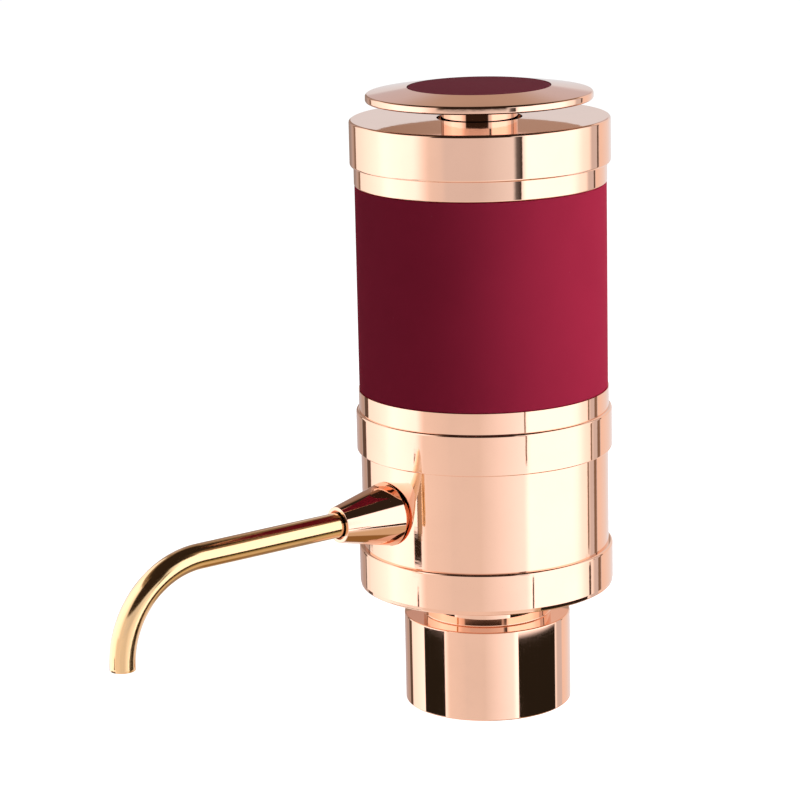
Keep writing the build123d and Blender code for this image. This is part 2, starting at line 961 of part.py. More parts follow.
def swept_tube(points, radius, bend, bore=0):
    """A round tube along straight runs joined by arcs, and the length of its centre line."""
    path = FilletPolyline(*points, radius=bend)
    first = Vector(*points[0])
    section = Plane(origin=first, z_dir=Vector(*points[1]) - first)
    face = section * Circle(radius)
    if bore:
        face = section * (Circle(radius) - Circle(bore))
    return sweep(face, path=path), path.length


def air_hose():
    """The soft hose from the pump's nozzle to the port block's barb."""
    nozzle_tip = sqrt(pump_radius**2 - nozzle_offset**2) + nozzle_length
    barb_tip = air_port_offset + air_turret_radius + nozzle_length
    near_y = pump_y - nozzle_offset
    far_x = nozzle_tip + hose_slack + hose_bend_radius
    points = [
        (nozzle_tip - hose_push, near_y, nozzle_z),
        (far_x, near_y, nozzle_z),
        (far_x, wine_y, nozzle_z),
        (barb_tip - hose_push, wine_y, nozzle_z),
    ]
    hose, length = swept_tube(points, hose_radius, hose_bend_radius, hose_radius - hose_wall)
    print("air hose length", round(length, 1), "bend radius", hose_bend_radius)
    return hose


def motor_lead(side):
    """One insulated wire from a battery contact's tail to a motor terminal."""
    x, y = lead_place(side)
    top = case_floor_z - tail_length - slip_gap
    low = end_cap_z + terminal_height / 2
    end_x = side * (terminal_offset + terminal_thickness / 2 + running_gap)
    points = [(x, y, top), (x, y, low), (end_x, y, low)]
    wire, length = swept_tube(points, lead_radius, lead_bend_radius)
    print("motor lead length", round(length, 1), "bend radius", lead_bend_radius)
    return wire


# Battery section


def cell_places():
    """Where the cells stand, from the rear left round by the front to the rear right."""
    return around(cell_count, cell_pitch_radius, first_cell_angle)


def lead_place(side):
    """Where a motor lead passes the deck, under a rear cell: -1 is left, 1 is right."""
    return cell_places()[0 if side < 0 else 3]


def body_sleeve():
    """The soft-touch painted tube round the batteries."""
    inner = case_radius + slip_gap
    return turned(
        [
            (inner, sleeve_z),
            (body_radius, sleeve_z),
            (body_radius, sleeve_top_z),
            (inner, sleeve_top_z),
        ],
        {1: fine_edge, 2: fine_edge},
    )


def battery_case():
    """The inner tube with four wells, and the bayonet lugs that hold the cap."""
    body = pipe(case_radius, case_inner_radius, deck_top_z, case_top_z)
    body += rod(case_inner_radius + case_wall / 2, case_floor_z - case_floor, case_floor_z)
    rib_length = 2 * case_inner_radius + case_wall
    for turn in (first_cell_angle, first_cell_angle + 90):
        rib = block(rib_length, rib_width, case_floor_z, case_floor_z + rib_height)
        body += Rot(0, 0, turn) * rib
    well = cell_radius + cell_well_gap
    for x, y in cell_places():
        body += rod(well + well_wall, case_floor_z, case_floor_z + well_height, x, y)
    for x, y in cell_places():
        body -= rod(well, case_floor_z, case_floor_z + well_height + cut_overrun, x, y)
    (left_x, front_y), (right_x, front_y) = cell_places()[1:3]
    slot = contact_strip_width + 2 * slip_gap
    slot_top = lower_contact_z + slip_gap
    body -= block(right_x - left_x, slot, case_floor_z, slot_top, 0, front_y)
    lug_top = case_top_z - lug_drop
    lug_root = case_inner_radius + case_wall / 2
    lug_ring = pipe(case_radius + lug_rise, lug_root, lug_top - lug_height, lug_top)
    for i in range(lug_count):
        middle = 90 + 360 * i / lug_count
        body += lug_ring & sector(2 * case_radius, 0, case_top_z, middle - lug_angle / 2, lug_angle)
    for side in (-1, 1):
        x, y = lead_place(side)
        body -= rod(tail_radius + slip_gap, deck_top_z, case_floor_z + cut_overrun, x, y)
        seat = flat_screw_seat(case_floor_z, case_floor + cut_overrun)
        body -= Pos(side * case_screw_x, 0, 0) * seat
    return body


def case_screws():
    """Flat screws that hold the battery case to the deck."""
    bite = case_floor + case_foot + deck_thickness - screw_countersink
    screw = flat_screw(case_floor_z - running_gap, bite)
    return Compound([Pos(side * case_screw_x, 0, 0) * screw for side in (-1, 1)])


def battery_cells():
    """Four cells, standing and upside down by turns."""
    whole = cell_length + cell_nub_height
    cells = []
    for i, (x, y) in enumerate(cell_places()):
        cell = turned(
            [
                (0, 0),
                (cell_radius, 0),
                (cell_radius, cell_length),
                (cell_nub_radius, cell_length),
                (cell_nub_radius, whole),
                (0, whole),
            ],
            {1: cell_edge, 2: cell_edge},
        )
        if i % 2 == 0:
            cells.append(Pos(x, y, upright_cell_z) * cell)
        else:
            top = upper_contact_z - leaf_compressed - contact_gap
            cells.append(Pos(x, y, top) * Rot(180, 0, 0) * cell)
    return Compound(cells)


def leaf():
    """A bent strip that rises from a contact plate to press on a cell."""
    rise = leaf_compressed
    outline = [
        (-leaf_run, 0),
        (-leaf_run + contact_thickness, 0),
        (leaf_tip - contact_thickness, rise - contact_thickness),
        (leaf_run, rise - contact_thickness),
        (leaf_run, rise),
        (-leaf_tip, rise),
    ]
    side = make_face(Polyline(*[(x, 0, z) for x, z in outline], close=True))
    return extrude(side, leaf_width / 2, both=True)


def contact_pad(springy):
    """A contact plate's round end, with a leaf for a flat cell end or a bump for a nub."""
    plate = rod(contact_radius, -contact_thickness, 0)
    if springy:
        return plate + leaf()
    return plate + rod(contact_bump_radius, 0, contact_bump_height)


def contact_strip(start, end):
    """A flat strip between two contact plates."""
    x, y = (start[0] + end[0]) / 2, (start[1] + end[1]) / 2
    length = hypot(end[0] - start[0], end[1] - start[1])
    turn = degrees(atan2(end[1] - start[1], end[0] - start[0]))
    return Pos(x, y, 0) * Rot(0, 0, turn) * block(length, contact_strip_width, -contact_thickness, 0)


def lower_contacts():
    """Two tabs with tails for the motor's leads, and the bridge between the front cells."""
    places = cell_places()
    solids = []
    for i in (0, 3):
        x, y = places[i]
        tab = Pos(x, y, 0) * contact_pad(i % 2 == 0)
        tab += rod(tail_radius, -contact_thickness - tail_length, -contact_thickness / 2, x, y)
        solids.append(tab)
    bridge = contact_strip(places[1], places[2])
    for i in (1, 2):
        x, y = places[i]
        bridge += Pos(x, y, 0) * contact_pad(i % 2 == 0)
    solids.append(bridge)
    return Compound([Pos(0, 0, lower_contact_z) * solid for solid in solids])


def upper_contacts():
    """Two tabs that feed the switch, and the bridge between the right-hand cells."""
    places = cell_places()
    solids = []
    for i in (0, 1):
        x, y = places[i]
        share = board_tab_share()
        inward = (x * share, y * share)
        tab = Pos(x, y, 0) * contact_pad(i % 2 == 1)
        tab += contact_strip((x, y), inward)
        tab += rod(tail_radius, -contact_thickness - carrier_thickness - board_thickness, 0, *inward)
        solids.append(tab)
    bridge = contact_strip(places[2], places[3])
    for i in (2, 3):
        x, y = places[i]
        bridge += Pos(x, y, 0) * contact_pad(i % 2 == 1)
    solids.append(bridge)
    flipped = []
    for solid in solids:
        flipped.append(Pos(0, 0, upper_contact_z) * mirror(solid, about=Plane.XY))
    return Compound(flipped)


def board_tab_share():
    """How far in from its cell, as a share of the pitch, a switch tab's pin stands."""
    return (board_radius - contact_strip_width / 2) / cell_pitch_radius


# Cap and switch


def carrier_boss_places():
    """Where the cap's three bosses for the carrier's screws stand."""
    return around(carrier_boss_count, carrier_boss_pitch_radius, first_carrier_boss_angle)


def cap_groove():
    """The bayonet slot cut in the cap: a level run and the way in from below."""
    ring_outer = case_radius + lug_rise + lug_gap
    lug_top = case_top_z - lug_drop
    low = lug_top - lug_height - lug_gap
    ring = pipe(ring_outer, case_inner_radius, low, lug_top + lug_gap)
    mouth = pipe(ring_outer, case_inner_radius, cap_z - cut_overrun, lug_top + lug_gap)
    half = lug_angle / 2 + groove_spare_angle
    cuts = []
    for i in range(lug_count):
        start = 90 + 360 * i / lug_count - cap_twist_angle - half
        run = sector(2 * case_radius, 0, disc_z, start, cap_twist_angle + 2 * half)
        way_in = sector(2 * case_radius, 0, disc_z, start, 2 * half)
        cuts.append(ring & run)
        cuts.append(mouth & way_in)
    return cuts


def top_cap():
    """The plated cap with its wide ring, narrow band, stem hole, bosses and bayonet slots."""
    inner = case_radius + cap_wall_gap
    body = turned(
        [
            (inner, cap_z),
            (cap_band_radius, cap_z),
            (cap_band_radius, cap_ring_z),
            (cap_ring_radius, cap_ring_z),
            (cap_ring_radius, cap_top_z),
            (cap_hole_radius, cap_top_z),
            (cap_hole_radius, cap_under_z),
            (inner, cap_under_z),
        ],
        {1: fine_edge, 3: cap_lower_edge / 2, 4: fine_edge},
    )
    for x, y in carrier_boss_places():
        body += rod(carrier_boss_radius, board_z, cap_under_z + cap_top_thickness / 2, x, y)
        body -= rod(screw_radius + press_gap, board_z - cut_overrun, board_z + screw_bite, x, y)
    stake_low = cap_under_z - guide_flange_thickness - stake_head
    for x, y in around(stake_count, stake_pitch_radius, 90):
        body += rod(stake_radius, stake_low, cap_under_z + cap_top_thickness / 2, x, y)
    for cut in cap_groove():
        body -= cut
    return body


def button_guide():
    """The black bush under the cap's hole that the stem slides in."""
    bore = stem_radius + running_gap
    body = turned(
        [
            (bore, guide_z),
            (bore + guide_wall, guide_z),
            (bore + guide_wall, cap_under_z - guide_flange_thickness),
            (guide_flange_radius, cap_under_z - guide_flange_thickness),
            (guide_flange_radius, cap_under_z),
            (bore, cap_under_z),
        ]
    )
    for x, y in around(stake_count, stake_pitch_radius, 90):
        body -= rod(stake_radius + running_gap, guide_z, cap_under_z + cut_overrun, x, y)
    return body


def switch_carrier():
    """The disc that closes the cap from below and carries the switch and the upper contacts."""
    body = rod(carrier_radius, carrier_z, board_z)
    rim = board_radius + running_gap
    body += pipe(rim + board_rim_wall, rim, board_z - carrier_thickness / 2, board_z + board_rim_height)
    for x, y in carrier_boss_places():
        seat = flat_screw_seat(0, carrier_thickness + cut_overrun)
        body -= Pos(x, y, carrier_z) * Rot(180, 0, 0) * seat
    for x, y in cell_places()[:2]:
        share = board_tab_share()
        hole = rod(tail_radius + slip_gap, carrier_z - cut_overrun, board_z + cut_overrun)
        body -= Pos(x * share, y * share, 0) * hole
    return body


def carrier_screws():
    """Flat screws, heads down, that hold the carrier to the cap's bosses."""
    screws = []
    for x, y in carrier_boss_places():
        screw = flat_screw(0, screw_bite)
        screws.append(Pos(x, y, carrier_z + running_gap) * Rot(180, 0, 0) * screw)
    return Compound(screws)


def switch_board():
    """The small round circuit board under the switch."""
    body = rod(board_radius, board_z, switch_z)
    for x, y in cell_places()[:2]:
        share = board_tab_share()
        hole = rod(tail_radius + slip_gap, board_z - cut_overrun, switch_z + cut_overrun)
        body -= Pos(x * share, y * share, 0) * hole
    return body


def switch_body():
    """The push switch's square case."""
    body = block(switch_width, switch_width, switch_z, switch_top_z)
    return body - rod(plunger_radius + running_gap, switch_z + switch_floor, switch_top_z + cut_overrun)


def switch_plunger():
    """The push switch's round plunger."""
    return rod(plunger_radius, switch_top_z - plunger_root, plunger_top_z)


# Button


def button_disc():
    """The plated disc that the hand presses, dished for the insert."""
    recess = insert_radius + recess_gap
    floor = disc_top_z - insert_thickness
    spigot = stem_radius - stem_wall - slip_gap
    return turned(
        [
            (0, disc_z - disc_spigot_depth),
            (spigot, disc_z - disc_spigot_depth),
            (spigot, disc_z),
            (disc_radius, disc_z),
            (disc_radius, disc_edge_z),
            (recess, disc_top_z),
            (recess, floor),
            (0, floor),
        ],
        {3: button_lower_edge, 4: button_lower_edge},
    )


def button_insert():
    """The slightly crowned painted insert in the disc."""
    floor = disc_top_z - insert_thickness
    return turned(
        [
            (0, floor),
            (insert_radius, floor),
            (insert_radius, disc_top_z),
            (0, disc_top_z + insert_crown),
        ],
        {2: insert_edge},
    )


def button_stem():
    """The hollow plated stem with its clip groove and the post that works the switch."""
    inner = stem_radius - stem_wall
    low = stem_clip_z - stem_tail
    groove = stem_radius - stem_groove_depth
    under_roof = stem_roof_z - stem_roof
    body = turned(
        [
            (inner, low),
            (stem_radius, low),
            (stem_radius, stem_clip_z - running_gap),
            (groove, stem_clip_z - running_gap),
            (groove, guide_z),
            (stem_radius, guide_z),
            (stem_radius, disc_z),
            (inner, disc_z),
            (inner, stem_roof_z),
            (0, stem_roof_z),
            (0, plunger_top_z + running_gap),
            (post_radius, plunger_top_z + running_gap),
            (post_radius, under_roof),
            (inner, under_roof),
        ]
    )
    return body


def stem_clip():
    """The open spring ring that stops the stem against the guide."""
    inner = stem_radius - stem_groove_depth + running_gap
    ring = pipe(inner + stem_clip_width, inner, stem_clip_z, stem_clip_z + stem_clip_thickness)
    reach = 2 * (inner + stem_clip_width)
    start = 90 - clip_opening_angle / 2
    return ring - sector(reach, 0, cap_top_z, start, clip_opening_angle)


def coil_path(radius, low, high, turns):
    """A rising coil made of pairs of arcs that meet smoothly, one pair for each quarter turn."""
    quarters = 4 * turns
    climb = (high - low) / quarters
    step = pi / 2
    edges = []
    for k in range(quarters):
        ends = []
        for turn in (k * step, (k + 1) * step):
            spot = Vector(radius * cos(turn), radius * sin(turn), low + climb * turn / step)
            way = Vector(-radius * sin(turn), radius * cos(turn), climb / step).normalized()
            ends.append((spot, way))
        (start, out), (end, back) = ends
        span = end - start
        both = out + back
        spread = 2 * (1 - out.dot(back))
        reach = (sqrt(span.dot(both) ** 2 + spread * span.dot(span)) - span.dot(both)) / spread
        middle = (start + end + (out - back) * reach) / 2
        first = Edge.make_tangent_arc(start, out, middle)
        edges.append(first)
        edges.append(Edge.make_tangent_arc(middle, first % 1, end))
    return Wire(edges)


def button_spring():
    """The coil that lifts the button, between the board and the stem's roof."""
    seat = spring_wire_radius + spring_seat_gap
    low = switch_z + seat
    high = stem_roof_z - stem_roof - seat
    turns = spring_turns
    climb = (high - low) / turns
    path = coil_path(spring_radius, low, high, turns)
    section = Plane(origin=path @ 0, z_dir=path % 0) * Circle(spring_wire_radius)
    print("button spring least gap", round(climb - 2 * spring_wire_radius, 2))
    return sweep(section, path=path)


def named_parts():
    """Every node's name with the function that makes it."""
    return {
        "collar": collar,
        "bottle_seal": bottle_seal,
        "socket_gasket": socket_gasket,
        "port_block": port_block,
        "inlet_nipple": inlet_nipple,
        "base_cover": base_cover,
        "collar_screws": collar_screws,
        "lower_housing": lower_housing,
        "housing_screws": housing_screws,
        "wine_conduit": wine_conduit,
        "aerator_jet": aerator_jet,
        "spout_o_ring": spout_o_ring,
        "spout_cone": spout_cone,
        "spout_clip": spout_clip,
        "spout_tube": spout_tube,
        "pump_pad": pump_pad,
        "pump_head": pump_head,
        "valve_plate": valve_plate,
        "pump_valves": pump_valves,
        "diaphragm": diaphragm,
        "pump_body": pump_body,
        "pump_screws": pump_screws,
        "wobble_plate": wobble_plate,
        "drive_pin": drive_pin,
        "crank": crank,
        "motor_shaft": motor_shaft,
        "motor_can": motor_can,
        "motor_end_cap": motor_end_cap,
        "motor_terminals": motor_terminals,
        "air_hose": air_hose,
        "left_motor_lead": lambda: motor_lead(-1),
        "right_motor_lead": lambda: motor_lead(1),
        "body_sleeve": body_sleeve,
        "battery_case": battery_case,
        "case_screws": case_screws,
        "battery_cells": battery_cells,
        "lower_contacts": lower_contacts,
        "upper_contacts": upper_contacts,
        "top_cap": top_cap,
        "button_guide": button_guide,
        "switch_carrier": switch_carrier,
        "carrier_screws": carrier_screws,
        "switch_board": switch_board,
        "switch_body": switch_body,
        "switch_plunger": switch_plunger,
        "button_disc": button_disc,
        "button_insert": button_insert,
        "button_stem": button_stem,
        "stem_clip": stem_clip,
        "button_spring": button_spring,
    }


os.makedirs("parts", exist_ok=True)
for name, make in named_parts().items():
    export_step(make(), f"parts/{name}.step")
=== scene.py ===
"""Looks for an electric wine aerator: plated shell, painted sleeve, bent pouring tube and studio.

Lengths are metres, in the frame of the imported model: Z up, the origin at the centre of the
collar's bottom edge, and the spout along -Y.
"""

import json
import math

import bmesh
import bpy
import numpy as np
from mathutils import Matrix, Vector


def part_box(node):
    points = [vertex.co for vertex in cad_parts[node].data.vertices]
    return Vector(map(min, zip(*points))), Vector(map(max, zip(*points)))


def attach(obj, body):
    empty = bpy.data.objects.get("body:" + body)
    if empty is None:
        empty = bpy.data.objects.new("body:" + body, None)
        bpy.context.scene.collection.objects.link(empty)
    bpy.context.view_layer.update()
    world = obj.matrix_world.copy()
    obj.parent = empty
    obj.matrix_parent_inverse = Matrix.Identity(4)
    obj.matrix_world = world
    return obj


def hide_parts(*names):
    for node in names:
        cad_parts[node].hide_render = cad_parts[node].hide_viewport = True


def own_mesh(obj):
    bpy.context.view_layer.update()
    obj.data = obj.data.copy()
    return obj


bl_info = {
    "name": "Wine aerator looks",
    "version": (1, 0, 0),
    "blender": (4, 5, 0),
    "location": "3D View > Sidebar > Aerator",
    "description": "Builds the visible pieces and the studio of an electric wine aerator",
    "category": "Object",
}

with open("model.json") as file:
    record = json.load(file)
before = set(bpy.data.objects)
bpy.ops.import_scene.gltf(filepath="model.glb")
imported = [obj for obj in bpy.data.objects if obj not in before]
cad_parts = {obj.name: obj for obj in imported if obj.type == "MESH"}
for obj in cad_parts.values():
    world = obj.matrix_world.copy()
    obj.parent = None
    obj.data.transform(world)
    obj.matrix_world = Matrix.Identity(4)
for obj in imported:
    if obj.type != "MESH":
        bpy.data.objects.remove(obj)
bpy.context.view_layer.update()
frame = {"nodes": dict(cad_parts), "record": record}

SPIN_STEPS = 256
ROUND_STEPS = 12
SHARP_ANGLE = math.radians(32)
SAME_POINT = 1e-7

# Sizes in metres that no setting changes
CLEAR = 0.0001  # between two pieces that seat
SLIP = 0.00005  # between two pieces that slide
PAST = 0.001  # how far a cutting shape runs past what it cuts
SCREW_HOLE = 0.00101  # radius of the hole that a screw bites in
CLEAR_HOLE = 0.0011  # radius of the hole that a screw passes
HEAD_SEAT = 0.002  # radius of a sunk head's seat at its face
SEAT_DEPTH = 0.001
LIP_FOOT = 0.0004  # the base ring is upright up to here
LIP_TOP = 0.0011  # and at its full width from here
PILLAR_RADIUS = 0.0025
PILLAR_HOLE = 0.006  # depth of the screw hole in a pillar
SPIGOT_HEIGHT = 0.005  # how far the housing goes into the base cover
DECK = 0.002  # thickness of the housing's deck
BOSS_DEPTH = 0.0054
BOSS_BORE = 0.00555
LEAD_HOLE = 0.0016
LEAD_END = 0.0002  # the part of a lead that counts as its end
SLEEVE_WALL = 0.0019
CAP_BORE = 0.0283
CAP_ROOF = 0.0018
CAP_HOLE = 0.0102
POST_RADIUS = 0.0026  # of the posts that the switch carrier's screws bite in
POST_HOLE = 0.007
STAKE_RING = 0.0143
STAKE_RADIUS = 0.0009
STAKE_FOOT = 0.0056  # from the button guide's foot
SLOT_ROOT = 0.028
SLOT_STEP = 0.00002  # keeps a slot's mouth off the wall of its run
LUG_PLAY = 3  # degrees on each side of a lug
DISC_SPIGOT = 0.002
DISC_RIM = 0.00185
CLIP_GROOVE = 0.0008
STEM_ROOF = 0.0058  # from the guide's foot to the top of the wall across the stem
STEM_ROOF_WALL = 0.002
STEM_POST = 0.002
CONE_FLANGE = 0.0009
CONE_SPIGOT = 0.0055
CONE_GROOVE = 0.0049
CONE_MOUTH = 0.0035
MOUTH_DEPTH = 0.002
THREAD_TIP = 0.0008
CELL_END = 0.0028  # bare metal at each end of a cell
CELL_STRIPE = 0.009

# Faces round small shapes
HOLE_STEPS = 48
STAKE_STEPS = 32
FENCE_STEPS = 128
BOSS_STEPS = 192


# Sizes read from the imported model


def low(node, axis=2):
    """The lowest coordinate of a CAD node on one axis."""
    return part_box(node)[0][axis]


def high(node, axis=2):
    """The highest coordinate of a CAD node on one axis."""
    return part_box(node)[1][axis]


def radius_of(node):
    """Half of a round CAD node's width."""
    return (high(node, 0) - low(node, 0)) / 2


def solids_of(node):
    """The lowest and highest corners of each separate solid in a CAD node."""
    mesh = frame["nodes"][node].data
    places = {}
    parent = []

    def root(i):
        while parent[i] != i:
            parent[i] = parent[parent[i]]
            i = parent[i]
        return i

    ids = []
    for vertex in mesh.vertices:
        key = tuple(round(c, 6) for c in vertex.co)
        if key not in places:
            places[key] = len(parent)
            parent.append(len(parent))
        ids.append(places[key])
    for face in mesh.polygons:
        first, *others = (ids[i] for i in face.vertices)
        for other in others:
            parent[root(other)] = root(first)
    groups = {}
    for key, i in places.items():
        groups.setdefault(root(i), []).append(key)
    boxes = []
    for points in groups.values():
        columns = list(zip(*points))
        boxes.append((Vector(map(min, columns)), Vector(map(max, columns))))
    return sorted(boxes, key=lambda box: tuple(box[0]))


def centres_of(node):
    """The X and Y of each separate solid in a CAD node."""
    return [((a.x + b.x) / 2, (a.y + b.y) / 2) for a, b in solids_of(node)]


# Settings that a user may change


def length(name, description, default):
    """A size in metres."""
    return bpy.props.FloatProperty(
        name=name, description=description, default=default, min=0, precision=5, unit="LENGTH"
    )


def amount(name, description, default):
    """A plain strength."""
    return bpy.props.FloatProperty(name=name, description=description, default=default, min=0)


def angle(name, description, degrees):
    """An angle, given in degrees and kept in radians."""
    return bpy.props.FloatProperty(
        name=name, description=description, default=math.radians(degrees), unit="ROTATION"
    )


def colour(name, description, default):
    """A linear colour."""
    return bpy.props.FloatVectorProperty(
        name=name, description=description, default=default, size=3, min=0, max=1, subtype="COLOR"
    )


class AeratorSizes(bpy.types.PropertyGroup):
    """Sizes of the visible pieces that the CAD boxes don't give."""

    fine_edge: length("Fine edge", "Round on most plated corners", 0.00035)
    ring_edge: length("Ring edge", "Round on the upper corners of the rings", 0.0006)
    base_edge: length("Base edge", "Round on the base ring's lower corner", 0.00038)
    cap_edge: length("Cap edge", "Round on the cap ring's lower corner", 0.00065)
    disc_edge: length("Disc edge", "Round on the button disc's rim", 0.00055)
    cone_edge: length("Cone edge", "Round on the cone's rims", 0.0003)
    neck_height: length("Neck height", "Height of the narrow neck", 0.0076)
    neck_radius: length("Neck radius", "Outer radius of the neck", 0.0155)
    neck_bore: length("Neck bore", "Inner radius of the neck", 0.0115)
    collar_wall: length("Collar wall", "Thickness of the collar's skirt and roof", 0.002)
    base_wall: length("Base wall", "Thickness of the base ring", 0.0019)
    base_floor: length("Base floor", "Thickness of the base cover's floor", 0.0022)
    ring_rise: length("Ring rise", "How far the housing ring stands out of the barrel", 0.00095)
    ring_height: length("Ring height", "Height of the housing ring", 0.0099)
    band_height: length("Band height", "Height of the band above the ring", 0.005)
    band_rise: length("Band rise", "How far that band stands out of the barrel", 0.00025)
    barrel_wall: length("Barrel wall", "Thickness of the barrel", 0.00255)
    band_wall: length("Band wall", "Thickness of the band", 0.0021)
    cap_band_height: length("Cap band", "Height of the cap's narrow band", 0.00465)
    cap_ring_rise: length("Cap ring rise", "How far the cap's ring stands out of its band", 0.0009)
    boss_radius: length("Boss radius", "Radius of the spout's boss", 0.0066)
    insert_radius: length("Insert radius", "Radius of the painted insert", 0.017)
    stem_wall: length("Stem wall", "Thickness of the button's stem", 0.0017)
    cone_length: length("Cone length", "Length of the cone without its flange", 0.01375)
    cone_tip: length("Cone tip", "Radius of the cone's tip", 0.0043)
    neck_flare: length("Neck flare", "How much the neck widens to its top", 0.0004)
    neck_foot: length("Neck foot", "Hollow round at the neck's foot", 0.0003)
    lip_round: length("Lip round", "Round where the base ring starts to draw in", 0.0003)
    lip_taper: length("Lip taper", "How far the base ring draws in at its foot", 0.00011)
    fence_wall: length("Fence wall", "Wall of the low fence round the pump", 0.001)
    fence_height: length("Fence height", "How far the fence stands above the floor", 0.00175)
    fence_cut: length("Fence cut", "Where the fence stops, behind the pump's centre", 0.0075)
    lug_drop: length("Lug drop", "From the case's top down to its lugs", 0.0019)
    lug_height: length("Lug height", "Height of a bayonet lug", 0.002)
    lug_gap: length("Lug gap", "Clearance of a lug in its slot", 0.0003)
    lug_angle: amount("Lug angle", "Width of a lug in degrees", 12)
    twist: amount("Twist", "Turn of the cap in degrees", 30)
    thread_pitch: length("Thread pitch", "Climb of a screw's thread in one turn", 0.00045)
    thread_depth: length("Thread depth", "Depth of a screw's thread", 0.00022)
    button_travel: length("Button travel", "How far the button goes down", 0.002)
    spring_wire: length("Spring wire", "Radius of the button spring's wire", 0.00035)
    tube_radius: length("Tube radius", "Outer radius of the pouring tube", 0.003)
    tube_wall: length("Tube wall", "Wall of the pouring tube", 0.0005)
    tube_bend: length("Tube bend", "Radius of the tube's bend", 0.0214)


class AeratorColours(bpy.types.PropertyGroup):
    """Colours of the finishes."""

    rose: colour("Rose plating", "Polished plating of the shell", (0.92, 0.595, 0.44))
    gold: colour("Gold tube", "Satin plating of the pouring tube", (0.93, 0.6, 0.27))
    burgundy: colour("Burgundy coat", "Soft paint of the sleeve", (0.355, 0.02, 0.053))
    insert: colour("Insert coat", "Soft paint of the button's insert", (0.24, 0.042, 0.062))
    floor: colour("Floor", "The studio's floor", (0.9, 0.9, 0.9))


class AeratorStudio(bpy.types.PropertyGroup):
    """Camera and light."""

    lens: bpy.props.FloatProperty(
        name="Lens", description="Focal length on a 36 mm sensor", default=135.92, unit="CAMERA"
    )
    distance: length("Distance", "From the camera to the aim point", 0.7295)
    aim_height: length("Aim height", "Height of the aim point on the body's axis", 0.08)
    azimuth: angle("Azimuth", "Turn of the camera from the spout's side", 51.1)
    elevation: angle("Elevation", "Height of the camera as an angle", 12.928)
    yaw: angle("Yaw", "Turn away from the aim point", -1.59)
    pitch: angle("Pitch", "Tilt away from the aim point", -0.371)
    roll: angle("Roll", "Turn about the view line", -0.916)
    key: amount("Key", "Power of the large lamp on the right", 6.9)
    fill: amount("Fill", "Strength of the world on matt surfaces", 0.15)
    top: amount("Top", "Power of the overhead lamp", 1.9)
    tent_radius: length("Tent radius", "Radius of the light tent", 0.25)


SETTINGS = {
    "aerator_sizes": AeratorSizes,
    "aerator_colours": AeratorColours,
    "aerator_studio": AeratorStudio,
}


# Nodes and sums on their sockets


class Wire:
    """An output socket that takes part in Python sums, which add Math nodes."""

    def __init__(self, graph, socket):
        self.graph = graph
        self.socket = socket

    def sum(self, operation, *others):
        return self.graph.sum(operation, self, *others)

    def __add__(self, other):
        return self.sum("ADD", other)

    def __radd__(self, other):
        return self.graph.sum("ADD", other, self)

    def __sub__(self, other):
        return self.sum("SUBTRACT", other)

    def __rsub__(self, other):
        return self.graph.sum("SUBTRACT", other, self)

    def __mul__(self, other):
        return self.sum("MULTIPLY", other)

    def __rmul__(self, other):
        return self.graph.sum("MULTIPLY", other, self)

    def __truediv__(self, other):
        return self.sum("DIVIDE", other)

    def __pow__(self, other):
        return self.sum("POWER", other)


